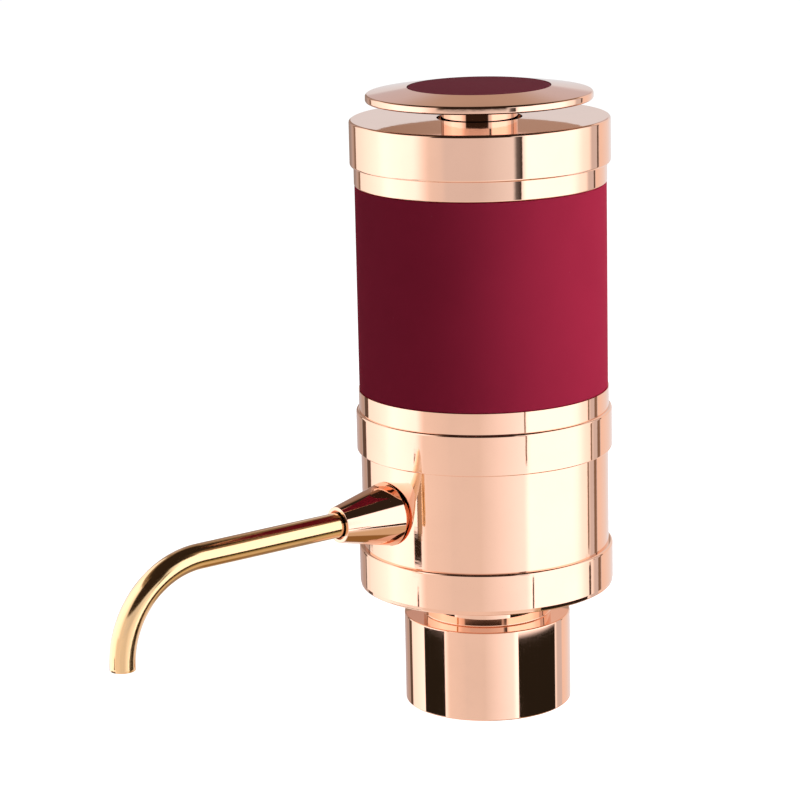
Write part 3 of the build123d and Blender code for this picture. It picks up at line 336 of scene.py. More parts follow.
class Graph:
    """A node tree and the one way that nodes are made in it."""

    def __init__(self, tree):
        self.tree = tree
        tree.nodes.clear()

    def add(self, kind, settings=None, inputs=None, output=0):
        """Make a node: its settings first, then its sockets' values or links."""
        node = self.tree.nodes.new(kind)
        for name, value in (settings or {}).items():
            if name == "stops":
                self.stop(node.color_ramp, value)
            else:
                setattr(node, name, value)
        for name, value in (inputs or {}).items():
            self.join(node.inputs[name], value)
        return Wire(self, node.outputs[output]) if node.outputs else node

    def join(self, socket, value):
        """Link a wire to a socket, or set its plain value."""
        if isinstance(value, Wire):
            self.tree.links.new(value.socket, socket)
        elif socket.type == "RGBA" and len(value) == 3:
            socket.default_value = (*value, 1)
        else:
            socket.default_value = value

    def stop(self, ramp, stops):
        """Give a colour ramp its stops, each a place and a level."""
        while len(ramp.elements) < len(stops):
            ramp.elements.new(0.5)
        for element, (place, level) in zip(ramp.elements, stops):
            element.position = place
            element.color = (level, level, level, 1)

    def sum(self, operation, *values):
        return self.add("ShaderNodeMath", {"operation": operation}, dict(enumerate(values)))

    def place(self):
        """Object coordinates, in metres."""
        return self.add("ShaderNodeTexCoord", output="Object")

    def split(self, vector):
        """The three parts of a vector."""
        first = self.add("ShaderNodeSeparateXYZ", inputs={0: vector})
        return [Wire(self, socket) for socket in first.socket.node.outputs]

    def vector(self, x, y, z):
        return self.add("ShaderNodeCombineXYZ", inputs={0: x, 1: y, 2: z})

    def scaled(self, vector, x, y, z):
        """A vector stretched on each axis."""
        return self.add(
            "ShaderNodeVectorMath", {"operation": "MULTIPLY"}, {0: vector, 1: (x, y, z)}
        )

    def noise(self, vector, size, detail=2.0, roughness=0.5):
        """Cloudy noise from 0 to 1, whose blots are about size metres across."""
        inputs = {"Vector": vector, "Scale": 1 / size, "Detail": detail, "Roughness": roughness}
        return self.add("ShaderNodeTexNoise", inputs=inputs)

    def cells(self, vector, size):
        """The distance to the nearest of scattered points about size metres apart."""
        inputs = {"Vector": vector, "Scale": 1 / size}
        return self.add("ShaderNodeTexVoronoi", inputs=inputs)

    def ramp(self, value, start, end, to_start=0.0, to_end=1.0):
        """A smooth step of a value from one level to another."""
        inputs = {0: value, 1: start, 2: end, 3: to_start, 4: to_end}
        return self.add("ShaderNodeMapRange", {"interpolation_type": "SMOOTHSTEP"}, inputs)

    def band(self, value, start, end, soft):
        """1 between two values of a wire and 0 outside them, with soft ends."""
        rise = self.ramp(value, start - soft, start + soft)
        fall = self.ramp(value, end - soft, end + soft)
        return rise * (1 - fall)

    def tint(self, share_of_second, first, second, mode="MIX"):
        """Mix two colours."""
        settings = {"data_type": "RGBA", "blend_type": mode}
        return self.add("ShaderNodeMix", settings, {0: share_of_second, 6: first, 7: second}, 2)

    def bump(self, height, depth):
        """A normal from a height of 0 to 1 that stands for depth metres."""
        return self.add("ShaderNodeBump", inputs={"Strength": 1, "Distance": depth, "Height": height})


def new_material(name):
    """A material and the graph of its nodes."""
    material = bpy.data.materials.new(name)
    material.use_nodes = True
    return material, Graph(material.node_tree)


def finish_of(name, build, **uniform):
    """A material whose Base Color, Roughness and so on come from build, which is given the graph."""
    material = bpy.data.materials.get(name)
    if material:
        return material
    material, graph = new_material(name)
    varied = build(graph)
    colours = varied.get("Base Color")
    if not isinstance(colours, Wire):
        material.diffuse_color = (*colours, 1)
    shader = graph.add("ShaderNodeBsdfPrincipled", inputs={**uniform, **varied})
    graph.add("ShaderNodeOutputMaterial", inputs={"Surface": shader})
    return material


def darker(tone, factor):
    """A colour scaled by a factor."""
    return tuple(min(1.0, c * factor) for c in tone)


def settings():
    """The sizes, colours and studio of this scene."""
    scene = bpy.context.scene
    return scene.aerator_sizes, scene.aerator_colours, scene.aerator_studio


# Finishes


def plating():
    """Polished rose plating: faint polishing rings, a slow wave in the surface, and smears."""
    tone = tuple(settings()[1].rose)

    def build(graph):
        place = graph.place()
        x, y, z = graph.split(place)
        out = graph.sum("SQRT", x * x + y * y)
        rings = graph.noise(graph.vector(out * 40, 0, z), 0.0007, 3, 0.6)
        wave = graph.noise(graph.scaled(place, 1, 1, 0.4), 0.011, 1, 0.4)
        hatch = graph.noise(graph.scaled(place, 1, 1, 2), 0.0018, 1, 0.4)
        smear = graph.noise(place, 0.016, 4, 0.62)
        smear_share = graph.ramp(smear, 0.52, 0.74)
        specks = graph.ramp(graph.cells(place, 0.004), 0.02, 0.05, 1.0, 0.0)
        rough = 0.028 + smear_share * 0.03 + rings * 0.014 + specks * 0.05
        tones = graph.tint(graph.ramp(smear, 0.3, 0.8), tone, darker(tone, 0.955))
        above = graph.ramp(z, 0.029, 0.031)
        normal = graph.bump(wave * 0.5 + hatch * above * 0.15 + rings * 0.002, 0.00002)
        return {"Base Color": tones, "Roughness": rough, "Normal": normal}

    return finish_of("rose_plating", build, Metallic=1.0)


def soft_paint(name, tone, ior, rough, grain=0.00035, depth=0.000006):
    """A soft satin coat with a fine orange peel, a slow change of tone and a little dust."""

    def build(graph):
        place = graph.place()
        peel = graph.noise(place, grain, 2, 0.5)
        swell = graph.noise(place, 0.018, 3, 0.5)
        dust = graph.ramp(graph.cells(place, 0.0055), 0.015, 0.03, 1.0, 0.0)
        tones = graph.tint(graph.ramp(swell, 0.3, 0.7), darker(tone, 0.97), darker(tone, 1.03))
        tones = graph.tint(dust * 0.06, tones, (0.6, 0.5, 0.5))
        roughness = rough + (peel - 0.5) * 0.08 + (swell - 0.5) * 0.05
        return {"Base Color": tones, "Roughness": roughness, "Normal": graph.bump(peel, depth)}

    return finish_of(name, build, IOR=ior)


def tube_gold():
    """Satin gold brushed along the tube, with fine lines and smears."""
    tone = tuple(settings()[1].gold)

    def build(graph):
        radius = 0.003
        along = graph.add("ShaderNodeAttribute", {"attribute_name": "along"}, output="Fac")
        around = graph.add("ShaderNodeAttribute", {"attribute_name": "around"}, output="Fac")
        turn = around * math.tau
        side = graph.sum("COSINE", turn) * radius
        rise = graph.sum("SINE", turn) * radius
        lines = graph.noise(graph.vector(side, rise, along * 0.02), 0.00028, 3, 0.6)
        broad = graph.noise(graph.vector(side, rise, along * 0.08), 0.0012, 2, 0.5)
        smear = graph.noise(graph.vector(side, rise, along * 0.4), 0.006, 3, 0.6)
        tones = graph.tint(graph.ramp(broad, 0.3, 0.7), darker(tone, 0.9), tone)
        rough = 0.09 + lines * 0.07 + graph.ramp(smear, 0.45, 0.75) * 0.05
        normal = graph.bump(lines * 0.5 + broad * 0.5, 0.000006)
        return {"Base Color": tones, "Roughness": rough, "Normal": normal}

    uniform = {"Metallic": 1.0, "Coat Weight": 1.0, "Coat IOR": 1.9, "Coat Roughness": 0.06}
    return finish_of("gold_tube", build, **uniform)


def moulded(name, tone, rough, grain=0.0006, depth=0.000008, **uniform):
    """Moulded plastic or rubber: a fine texture, flow marks and a slight change of tone."""

    def build(graph):
        place = graph.place()
        pits = graph.noise(place, grain, 3, 0.6)
        flow = graph.noise(graph.scaled(place, 1, 1, 0.25), 0.007, 3, 0.55)
        tones = graph.tint(graph.ramp(flow, 0.3, 0.7), darker(tone, 0.88), darker(tone, 1.1))
        roughness = rough + (pits - 0.5) * 0.14 + (flow - 0.5) * 0.06
        return {"Base Color": tones, "Roughness": roughness, "Normal": graph.bump(pits, depth)}

    return finish_of(name, build, **uniform)


def bare_metal(name, tone, rough, stretch=(1, 1, 8), grain=0.0009):
    """Rolled or drawn metal: fine lines one way and dull blots."""

    def build(graph):
        place = graph.place()
        lines = graph.noise(graph.scaled(place, *stretch), grain, 4, 0.65)
        blots = graph.noise(place, 0.004, 3, 0.55)
        dull = graph.ramp(blots, 0.45, 0.75)
        tones = graph.tint(dull * 0.6, darker(tone, 1.04), darker(tone, 0.84))
        roughness = rough + lines * 0.12 + dull * 0.1
        normal = graph.bump(lines, 0.000005)
        return {"Base Color": tones, "Roughness": roughness, "Normal": normal}

    return finish_of(name, build, Metallic=1.0)


def circuit_board(name, tone):
    """Green solder mask over copper runs, with the glass cloth showing faintly."""

    def build(graph):
        place = graph.place()
        x, y, _ = graph.split(place)
        cloth = graph.sum("SINE", x * 9000) * graph.sum("SINE", y * 9000)
        runs = graph.noise(graph.scaled(place, 1, 0.25, 1), 0.0022, 0, 0.5)
        copper = graph.band(runs, 0.5, 0.56, 0.008)
        tones = graph.tint(copper, tone, darker(tone, 1.9))
        tones = graph.tint(cloth * 0.04 + 0.04, tones, darker(tone, 2.4))
        normal = graph.bump(copper * 0.8 + cloth * 0.05, 0.00003)
        return {"Base Color": tones, "Roughness": 0.34 - copper * 0.06, "Normal": normal}

    return finish_of(name, build)


def cell_finish(name, tone):
    """A plain cell: a satin wrap with a bare rim and end at each end."""
    wrap_low = low("battery_cells") + CELL_END
    wrap_high = high("battery_cells") - CELL_END
    stripe_top = wrap_low + CELL_STRIPE

    def build(graph):
        place = graph.place()
        _, _, z = graph.split(place)
        wrapped = graph.band(z, wrap_low, wrap_high, 0.00005)
        stripe = graph.band(z, wrap_low, stripe_top, 0.00005)
        lines = graph.noise(graph.scaled(place, 1, 1, 6), 0.0009, 3, 0.6)
        metal = graph.tint(lines, (0.62, 0.61, 0.58), (0.74, 0.73, 0.7))
        wrap = graph.tint(stripe, tone, (0.36, 0.24, 0.09))
        tones = graph.tint(wrapped, metal, wrap)
        rough = 0.28 + lines * 0.08 + wrapped * 0.06
        return {
            "Base Color": tones,
            "Metallic": 1 - wrapped * 0.35,
            "Roughness": rough,
            "Normal": graph.bump(lines, 0.000004),
        }

    return finish_of(name, build)


INNER_FINISHES = {
    "black_plastic": lambda name: moulded(name, (0.022, 0.022, 0.025), 0.42),
    "grey_plastic": lambda name: moulded(name, (0.26, 0.27, 0.29), 0.36),
    "clear_plastic": lambda name: moulded(name, (0.72, 0.74, 0.7), 0.2, 0.0012, 0.000004),
    "white_plastic": lambda name: moulded(name, (0.74, 0.72, 0.66), 0.32),
    "soft_silicone": lambda name: moulded(name, (0.56, 0.55, 0.51), 0.55, 0.0005, 0.00001),
    "black_rubber": lambda name: moulded(name, (0.02, 0.02, 0.021), 0.62, 0.0004, 0.000012),
    "red_wire": lambda name: moulded(name, (0.42, 0.02, 0.02), 0.3, 0.0008),
    "black_wire": lambda name: moulded(name, (0.018, 0.018, 0.018), 0.3, 0.0008),
    "steel": lambda name: bare_metal(name, (0.56, 0.56, 0.57), 0.24),
    "spring_steel": lambda name: bare_metal(name, (0.5, 0.5, 0.52), 0.18, (1, 1, 1), 0.0004),
    "nickel_strip": lambda name: bare_metal(name, (0.66, 0.63, 0.56), 0.2, (1, 6, 1)),
    "green_board": lambda name: circuit_board(name, (0.012, 0.115, 0.04)),
    "cell_wrap": lambda name: cell_finish(name, (0.055, 0.058, 0.065)),
    "rose_plating": lambda name: plating(),
}


# Mesh code


def rounded(points, rounds, steps=ROUND_STEPS):
    """An outline of (radius, height) points with the named corners turned into arcs."""
    out = []
    for i, point in enumerate(points):
        size = rounds.get(i, 0)
        corner = Vector(point)
        if not size:
            out.append(corner)
            continue
        back = (Vector(points[i - 1]) - corner).normalized()
        on = (Vector(points[(i + 1) % len(points)]) - corner).normalized()
        half = back.angle(on) / 2
        centre = corner + (back + on).normalized() * size / math.sin(half)
        reach = size / math.tan(half)
        start = corner + back * reach - centre
        end = corner + on * reach - centre
        sweep = start.angle_signed(end)
        for k in range(steps + 1):
            spoke = start.copy()
            spoke.rotate(Matrix.Rotation(-sweep * k / steps, 2))
            out.append(centre + spoke)
    return out


def spin(points, rounds=None, steps=SPIN_STEPS, place=None):
    """A closed mesh made by turning an outline about Z, then moved by place."""
    outline = rounded(points, rounds or {})
    mesh = bmesh.new()
    rings = []
    for radius, height in outline:
        if radius < SAME_POINT:
            rings.append([mesh.verts.new((0, 0, height))])
            continue
        ring = []
        for k in range(steps):
            turn = math.tau * k / steps
            ring.append(mesh.verts.new((radius * math.cos(turn), radius * math.sin(turn), height)))
        rings.append(ring)
    for i, ring in enumerate(rings):
        other = rings[(i + 1) % len(rings)]
        if len(ring) == len(other) == 1:
            continue
        for k in range(steps):
            n = (k + 1) % steps
            if len(ring) == 1:
                mesh.faces.new((ring[0], other[n], other[k]))
            elif len(other) == 1:
                mesh.faces.new((ring[k], ring[n], other[0]))
            else:
                mesh.faces.new((ring[k], ring[n], other[n], other[k]))
    bmesh.ops.recalc_face_normals(mesh, faces=mesh.faces)
    if place:
        bmesh.ops.transform(mesh, matrix=place, verts=mesh.verts)
    return mesh


def tube(outer, inner, start, end, place=None, steps=96):
    """A plain ring, or a rod where inner is 0."""
    points = [(inner, start), (outer, start), (outer, end), (inner, end)]
    return spin(points, steps=steps, place=place)


def curved_block(radii, levels, start, turn, place=None, steps=32):
    """Part of a ring: inner and outer radius, foot and top, first angle and turn in degrees."""
    inner, outer = radii
    foot, top = levels
    mesh = bmesh.new()
    ribs = []
    for k in range(steps + 1):
        way = math.radians(start + turn * k / steps)
        corners = ((inner, foot), (outer, foot), (outer, top), (inner, top))
        ribs.append([mesh.verts.new((r * math.cos(way), r * math.sin(way), z)) for r, z in corners])
    for rib, after in zip(ribs, ribs[1:]):
        for k in range(4):
            n = (k + 1) % 4
            mesh.faces.new((rib[k], rib[n], after[n], after[k]))
    mesh.faces.new(ribs[0])
    mesh.faces.new(ribs[-1])
    bmesh.ops.recalc_face_normals(mesh, faces=mesh.faces)
    if place:
        bmesh.ops.transform(mesh, matrix=place, verts=mesh.verts)
    return mesh


def spout_level():
    """The height of the spout's axis."""
    return (low("spout_cone") + high("spout_cone")) / 2


def along_spout():
    """The place that lays a shape made on Z along the spout's axis."""
    return Matrix.Translation((0, 0, spout_level())) @ Matrix.Rotation(math.pi / 2, 4, "X")


def at(x, y):
    """The place that moves a shape made on Z sideways."""
    return Matrix.Translation((x, y, 0))


def new_object(name, mesh):
    """An object in the scene from a mesh, or from mesh code's result."""
    if isinstance(mesh, bmesh.types.BMesh):
        data = bpy.data.meshes.new(name)
        mesh.to_mesh(data)
        mesh.free()
    else:
        data = mesh
    piece = bpy.data.objects.new(name, data)
    bpy.context.scene.collection.objects.link(piece)
    return piece


def nodes_on(carrier, name, tree, values):
    """Give a carrier a geometry nodes modifier and set its inputs by their sockets' identifiers."""
    modifier = carrier.modifiers.new(name, "NODES")
    modifier.node_group = tree
    for item in tree.interface.items_tree:
        if item.item_type == "SOCKET" and item.in_out == "INPUT" and item.name in values:
            modifier[item.identifier] = values[item.name]


def new_tree(name, numbers, unit=None, points=False):
    """The graph of a geometry node tree with these inputs and a material, and its inputs."""
    tree = bpy.data.node_groups.new(name, "GeometryNodeTree")
    tree.is_modifier = True
    if points:
        tree.interface.new_socket("Geometry", in_out="INPUT", socket_type="NodeSocketGeometry")
    for number in numbers:
        item = tree.interface.new_socket(number, in_out="INPUT", socket_type="NodeSocketFloat")
        if unit:
            item.subtype = unit
    tree.interface.new_socket("Material", in_out="INPUT", socket_type="NodeSocketMaterial")
    tree.interface.new_socket("Geometry", in_out="OUTPUT", socket_type="NodeSocketGeometry")
    graph = Graph(tree)
    entry = graph.add("NodeGroupInput").socket.node
    return graph, {socket.name: Wire(graph, socket) for socket in entry.outputs if socket.name}


def closed_tree(graph, given, shape):
    """The tree of a graph that ends in this shape, realized and with its material set."""
    real = graph.add("GeometryNodeRealizeInstances", inputs={"Geometry": shape})
    coated = graph.add(
        "GeometryNodeSetMaterial", inputs={"Geometry": real, "Material": given["Material"]}
    )
    graph.add("NodeGroupOutput", inputs={"Geometry": coated})
    return graph.tree


def settled(piece):
    """Turn a piece and its modifiers into one plain mesh."""
    bpy.context.view_layer.update()
    graph = bpy.context.evaluated_depsgraph_get()
    result = bpy.data.meshes.new_from_object(
        piece.evaluated_get(graph), preserve_all_data_layers=True, depsgraph=graph
    )
    piece.modifiers.clear()
    piece.data = result
    result.name = piece.name
    return piece


def combined(name, body, extra=(), cuts=()):
    """A body with shapes fused to it and others cut from it."""
    piece = new_object(name, body)
    helpers = []
    for operation, shapes in (("UNION", extra), ("DIFFERENCE", cuts)):
        for shape in shapes:
            helper = new_object(name + "_tool", shape)
            modifier = piece.modifiers.new(operation, "BOOLEAN")
            modifier.operation = operation
            modifier.solver = "EXACT"
            modifier.object = helper
            helpers.append(helper)
    if helpers:
        settled(piece)
    for helper in helpers:
        bpy.data.objects.remove(helper)
    if not piece.data.polygons:
        raise RuntimeError(f"{name} came out empty")
    return piece


def dressed(piece, material, body, node):
    """Shade a piece, give it its finish, parent it to its body's empty and hide the CAD node that it
    stands for.
    """
    piece.data.materials.clear()
    piece.data.materials.append(material)
    piece.data.shade_smooth()
    piece.data.set_sharp_from_angle(angle=SHARP_ANGLE)
    weighted = piece.modifiers.new("weighted", "WEIGHTED_NORMAL")
    weighted.keep_sharp = True
    settled(piece)
    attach(piece, body)
    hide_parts(*([node] if isinstance(node, str) else node))
    return piece


# Operators, one for each piece or group of like pieces


class Piece(bpy.types.Operator):
    """Shared by the operators that make pieces."""

    bl_options = {"REGISTER"}

    def execute(self, context):
        self.make(*settings())
        return {"FINISHED"}


class AERATOR_OT_collar(Piece):
    """Turn the collar that slips over the bottle, with its neck."""

    bl_idname = "aerator.collar"
    bl_label = "Collar"

    def make(self, sizes, colours, studio):
        outer = radius_of("collar")
        inner = outer - sizes.collar_wall
        foot = low("collar")
        top = high("collar")
        step = top - sizes.neck_height
        roof = step - sizes.collar_wall
        body = spin(
            [
                (outer, foot),
                (outer, step),
                (sizes.neck_radius, step),
                (sizes.neck_radius + sizes.neck_flare, top),
                (sizes.neck_bore, top),
                (sizes.neck_bore, roof),
                (inner, roof),
                (inner, foot),
            ],
            {0: sizes.fine_edge, 1: sizes.fine_edge, 2: sizes.neck_foot},
        )
        cuts = [
            tube(SCREW_HOLE, 0, step, top + PAST, at(x, y)) for x, y in centres_of("collar_screws")
        ]
        dressed(combined("plated_collar", body, cuts=cuts), plating(), "main_body", "collar")


class AERATOR_OT_base(Piece):
    """Turn the base cover with its rounded ring, and stand its pillars and fence in it."""

    bl_idname = "aerator.base"
    bl_label = "Base cover"

    def make(self, sizes, colours, studio):
        foot = low("base_cover")
        floor = foot + sizes.base_floor
        ring_top = low("lower_housing") + SPIGOT_HEIGHT
        outer = radius_of("base_cover")
        inner = outer - sizes.base_wall
        body = spin(
            [
                (sizes.neck_bore, foot),
                (outer - sizes.lip_taper, foot),
                (outer - sizes.lip_taper, foot + LIP_FOOT),
                (outer, foot + LIP_TOP),
                (outer, ring_top),
                (inner, ring_top),
                (inner, floor),
                (sizes.neck_bore, floor),
            ],
            {1: sizes.base_edge, 3: sizes.lip_round, 4: sizes.ring_edge},
        )
        pillar_top = high("base_cover")
        sunk = floor - sizes.base_floor / 2
        extra = []
        cuts = []
        for x, y in centres_of("housing_screws"):
            place = at(x, y)
            hole_foot = pillar_top - PILLAR_HOLE
            extra.append(tube(PILLAR_RADIUS, 0, sunk, pillar_top, place, HOLE_STEPS))
            cuts.append(tube(SCREW_HOLE, 0, hole_foot, pillar_top + PAST, place, HOLE_STEPS))
        for x, y in centres_of("collar_screws"):
            seat = [
                (0, foot - PAST),
                (CLEAR_HOLE, foot - PAST),
                (CLEAR_HOLE, floor - SEAT_DEPTH),
                (HEAD_SEAT, floor),
                (HEAD_SEAT, floor + PAST),
                (0, floor + PAST),
            ]
            cuts.append(spin(seat, steps=HOLE_STEPS, place=at(x, y)))
        pump = radius_of("pump_body") + CLEAR
        wall = (pump, pump + sizes.fence_wall)
        back = math.degrees(math.asin(sizes.fence_cut / (pump + sizes.fence_wall / 2)))
        ((x, y),) = centres_of("pump_body")
        levels = (sunk, floor + sizes.fence_height)
        extra.append(curved_block(wall, levels, -back, 180 + 2 * back, at(x, y), FENCE_STEPS))
        piece = combined("plated_base", body, extra, cuts)
        dressed(piece, plating(), "main_body", "base_cover")


class AERATOR_OT_housing(Piece):
    """Turn the barrel with its raised ring and band, and set the spout's boss in its wall."""

    bl_idname = "aerator.housing"
    bl_label = "Lower housing"

    def make(self, sizes, colours, studio):
        ring_outer = radius_of("lower_housing")
        barrel = ring_outer - sizes.ring_rise
        band = barrel + sizes.band_rise
        inner = barrel - sizes.barrel_wall
        spigot = radius_of("base_cover") - sizes.base_wall - CLEAR
        pocket = band - sizes.band_wall
        foot = low("lower_housing")
        barrel_foot = foot + SPIGOT_HEIGHT
        top = high("lower_housing")
        band_foot = top - sizes.band_height
        ring_foot = band_foot - sizes.ring_height
        deck_low = high("base_cover")
        deck = deck_low + DECK
        body = spin(
            [
                (inner, foot),
                (spigot, foot),
                (spigot, barrel_foot),
                (barrel, barrel_foot),
                (barrel, ring_foot),
                (ring_outer, ring_foot),
                (ring_outer, band_foot),
                (band, band_foot),
                (band, top),
                (pocket, top),
                (pocket, deck),
                (0, deck),
                (0, deck_low),
                (inner, deck_low),
            ],
            {5: sizes.fine_edge, 6: sizes.ring_edge},
        )
        face = barrel + CLEAR
        back = face - BOSS_DEPTH
        extra = [tube(sizes.boss_radius, 0, back, face, along_spout(), BOSS_STEPS)]
        cuts = [tube(BOSS_BORE, 0, back - PAST, face + PAST, along_spout(), BOSS_STEPS)]
        holes = [(CLEAR_HOLE, spot) for spot in centres_of("housing_screws")]
        holes += [(SCREW_HOLE, spot) for spot in centres_of("case_screws")]
        for lead in ("left_motor_lead", "right_motor_lead"):
            holes.append((LEAD_HOLE, self.lead_top(lead)))
        for radius, (x, y) in holes:
            cuts.append(tube(radius, 0, deck_low - PAST, deck + PAST, at(x, y), HOLE_STEPS))
        piece = combined("plated_housing", body, extra, cuts)
        dressed(piece, plating(), "main_body", "lower_housing")

    def lead_top(self, lead):
        """Where a lead passes the deck."""
        points = [v.co for v in frame["nodes"][lead].data.vertices]
        top = max(p.z for p in points) - LEAD_END
        upper = [p for p in points if p.z > top]
        columns = list(zip(*upper))
        return tuple((min(c) + max(c)) / 2 for c in columns[:2])


class AERATOR_OT_sleeve(Piece):
    """Turn the painted sleeve round the batteries."""

    bl_idname = "aerator.sleeve"
    bl_label = "Sleeve"

    def make(self, sizes, colours, studio):
        outer = radius_of("body_sleeve")
        inner = outer - SLEEVE_WALL
        foot = low("body_sleeve")
        top = high("body_sleeve")
        body = spin(
            [(inner, foot), (outer, foot), (outer, top), (inner, top)],
            {1: sizes.fine_edge, 2: sizes.fine_edge},
        )
        coat = soft_paint("burgundy_coat", tuple(colours.burgundy), 1.04, 0.6)
        dressed(new_object("painted_sleeve", body), coat, "main_body", "body_sleeve")


class AERATOR_OT_cap(Piece):
    """Turn the cap with its band and ring, with bosses and stakes under its top."""

    bl_idname = "aerator.cap"
    bl_label = "Top cap"

    def make(self, sizes, colours, studio):
        outer = radius_of("top_cap")
        band = outer - sizes.cap_ring_rise
        foot = high("body_sleeve") + CLEAR
        top = high("top_cap")
        under = top - CAP_ROOF
        ring_foot = foot + sizes.cap_band_height
        body = spin(
            [
                (CAP_BORE, foot),
                (band, foot),
                (band, ring_foot),
                (outer, ring_foot),
                (outer, top),
                (CAP_HOLE, top),
                (CAP_HOLE, under),
                (CAP_BORE, under),
            ],
            {1: sizes.fine_edge, 3: sizes.cap_edge, 4: sizes.ring_edge},
        )
        extra = []
        cuts = []
        sunk = under + CAP_ROOF / 2
        post_foot = low("switch_board")
        hole_foot = post_foot - PAST
        for x, y in centres_of("carrier_screws"):
            place = at(x, y)
            extra.append(tube(POST_RADIUS, 0, post_foot, sunk, place, HOLE_STEPS))
            cuts.append(tube(SCREW_HOLE, 0, hole_foot, hole_foot + POST_HOLE, place, HOLE_STEPS))
        stake_foot = low("button_guide") + STAKE_FOOT
        for k in range(3):
            turn = math.radians(90 + 120 * k)
            place = at(STAKE_RING * math.cos(turn), STAKE_RING * math.sin(turn))
            extra.append(tube(STAKE_RADIUS, 0, stake_foot, sunk, place, STAKE_STEPS))
        cuts += self.slots(sizes, foot)
        piece = combined("plated_cap", body, extra, cuts)
        dressed(piece, plating(), "cap", "top_cap")

    def slots(self, sizes, foot):
        """The bayonet slots: a level run and the way in from below, for each lug of the case."""
        lug_top = high("battery_case") - sizes.lug_drop
        lug_foot = lug_top - sizes.lug_height
        root, wall = SLOT_ROOT, radius_of("battery_case") + sizes.lug_gap
        half = sizes.lug_angle / 2 + LUG_PLAY
        shapes = []
        for k in range(3):
            start = 90 + 120 * k - sizes.twist - half
            run = (lug_foot - sizes.lug_gap, lug_top + sizes.lug_gap)
            shapes.append(curved_block((root, wall), run, start, sizes.twist + 2 * half))
            mouth = (foot - PAST, lug_top)
            shapes.append(curved_block((root - CLEAR, wall - SLOT_STEP), mouth, start, 2 * half))
        return shapes


class AERATOR_OT_button(Piece):
    """Turn the button's disc, its painted insert and its stem."""

    bl_idname = "aerator.button"
    bl_label = "Button"

    def make(self, sizes, colours, studio):
        self.disc(sizes)
        self.insert(sizes, colours)
        self.stem(sizes)

    def disc(self, sizes):
        outer = radius_of("button_disc")
        top = high("button_disc")
        spigot_foot = low("button_disc")
        foot = spigot_foot + DISC_SPIGOT
        edge = foot + DISC_RIM
        recess = sizes.insert_radius + CLEAR
        floor = low("button_insert")
        spigot = radius_of("button_stem") - sizes.stem_wall - CLEAR
        body = spin(
            [
                (0, spigot_foot),
                (spigot, spigot_foot),
                (spigot, foot),
                (outer, foot),
                (outer, edge),
                (recess, top),
                (recess, floor),
                (0, floor),
            ],
            {3: sizes.disc_edge, 4: sizes.disc_edge},
        )
        dressed(new_object("plated_disc", body), plating(), "button", "button_disc")

    def insert(self, sizes, colours):
        floor = low("button_insert")
        rim = high("button_disc")
        top = high("button_insert")
        radius = radius_of("button_insert")
        body = spin(
            [(0, floor), (radius, floor), (radius, rim), (0, top)], {2: sizes.fine_edge}
        )
        coat = soft_paint("insert_coat", tuple(colours.insert), 1.05, 0.6)
        dressed(new_object("painted_insert", body), coat, "button", "button_insert")

    def stem(self, sizes):
        outer = radius_of("button_stem")
        inner = outer - sizes.stem_wall
        foot = low("button_stem")
        top = high("button_stem")
        clip_foot = low("stem_clip") - SLIP
        clip_top = low("button_guide")
        groove = outer - CLIP_GROOVE
        roof = clip_top + STEM_ROOF
        post_foot = high("switch_plunger") + SLIP
        under = roof - STEM_ROOF_WALL
        body = spin(
            [
                (inner, foot),
                (outer, foot),
                (outer, clip_foot),
                (groove, clip_foot),
                (groove, clip_top),
                (outer, clip_top),
                (outer, top),
                (inner, top),
                (inner, roof),
                (0, roof),
                (0, post_foot),
                (STEM_POST, post_foot),
                (STEM_POST, under),
                (inner, under),
            ]
        )
        dressed(new_object("plated_stem", body), plating(), "button", "button_stem")


class AERATOR_OT_cone(Piece):
    """Turn the cone that swivels in the boss."""

    bl_idname = "aerator.cone"
    bl_label = "Spout cone"

    def make(self, sizes, colours, studio):
        outer = radius_of("spout_cone")
        tip = -low("spout_cone", 1)
        inner_end = -high("spout_cone", 1)
        base = tip - sizes.cone_length - CONE_FLANGE
        clip_back = -high("spout_clip", 1) - SLIP
        clip_front = -low("spout_clip", 1) + CLEAR
        bore = sizes.tube_radius + SLIP
        body = spin(
            [
                (bore, inner_end),
                (CONE_SPIGOT, inner_end),
                (CONE_SPIGOT, clip_back),
                (CONE_GROOVE, clip_back),
                (CONE_GROOVE, clip_front),
                (CONE_SPIGOT, clip_front),
                (CONE_SPIGOT, base),
                (outer, base),
                (sizes.cone_tip, tip),
                (CONE_MOUTH, tip),
                (CONE_MOUTH, tip - MOUTH_DEPTH),
                (bore, tip - MOUTH_DEPTH),
            ],
            {7: sizes.cone_edge * 0.3, 8: sizes.cone_edge * 0.5},
            place=along_spout(),
        )
        dressed(new_object("plated_cone", body), plating(), "spout_turret", "spout_cone")


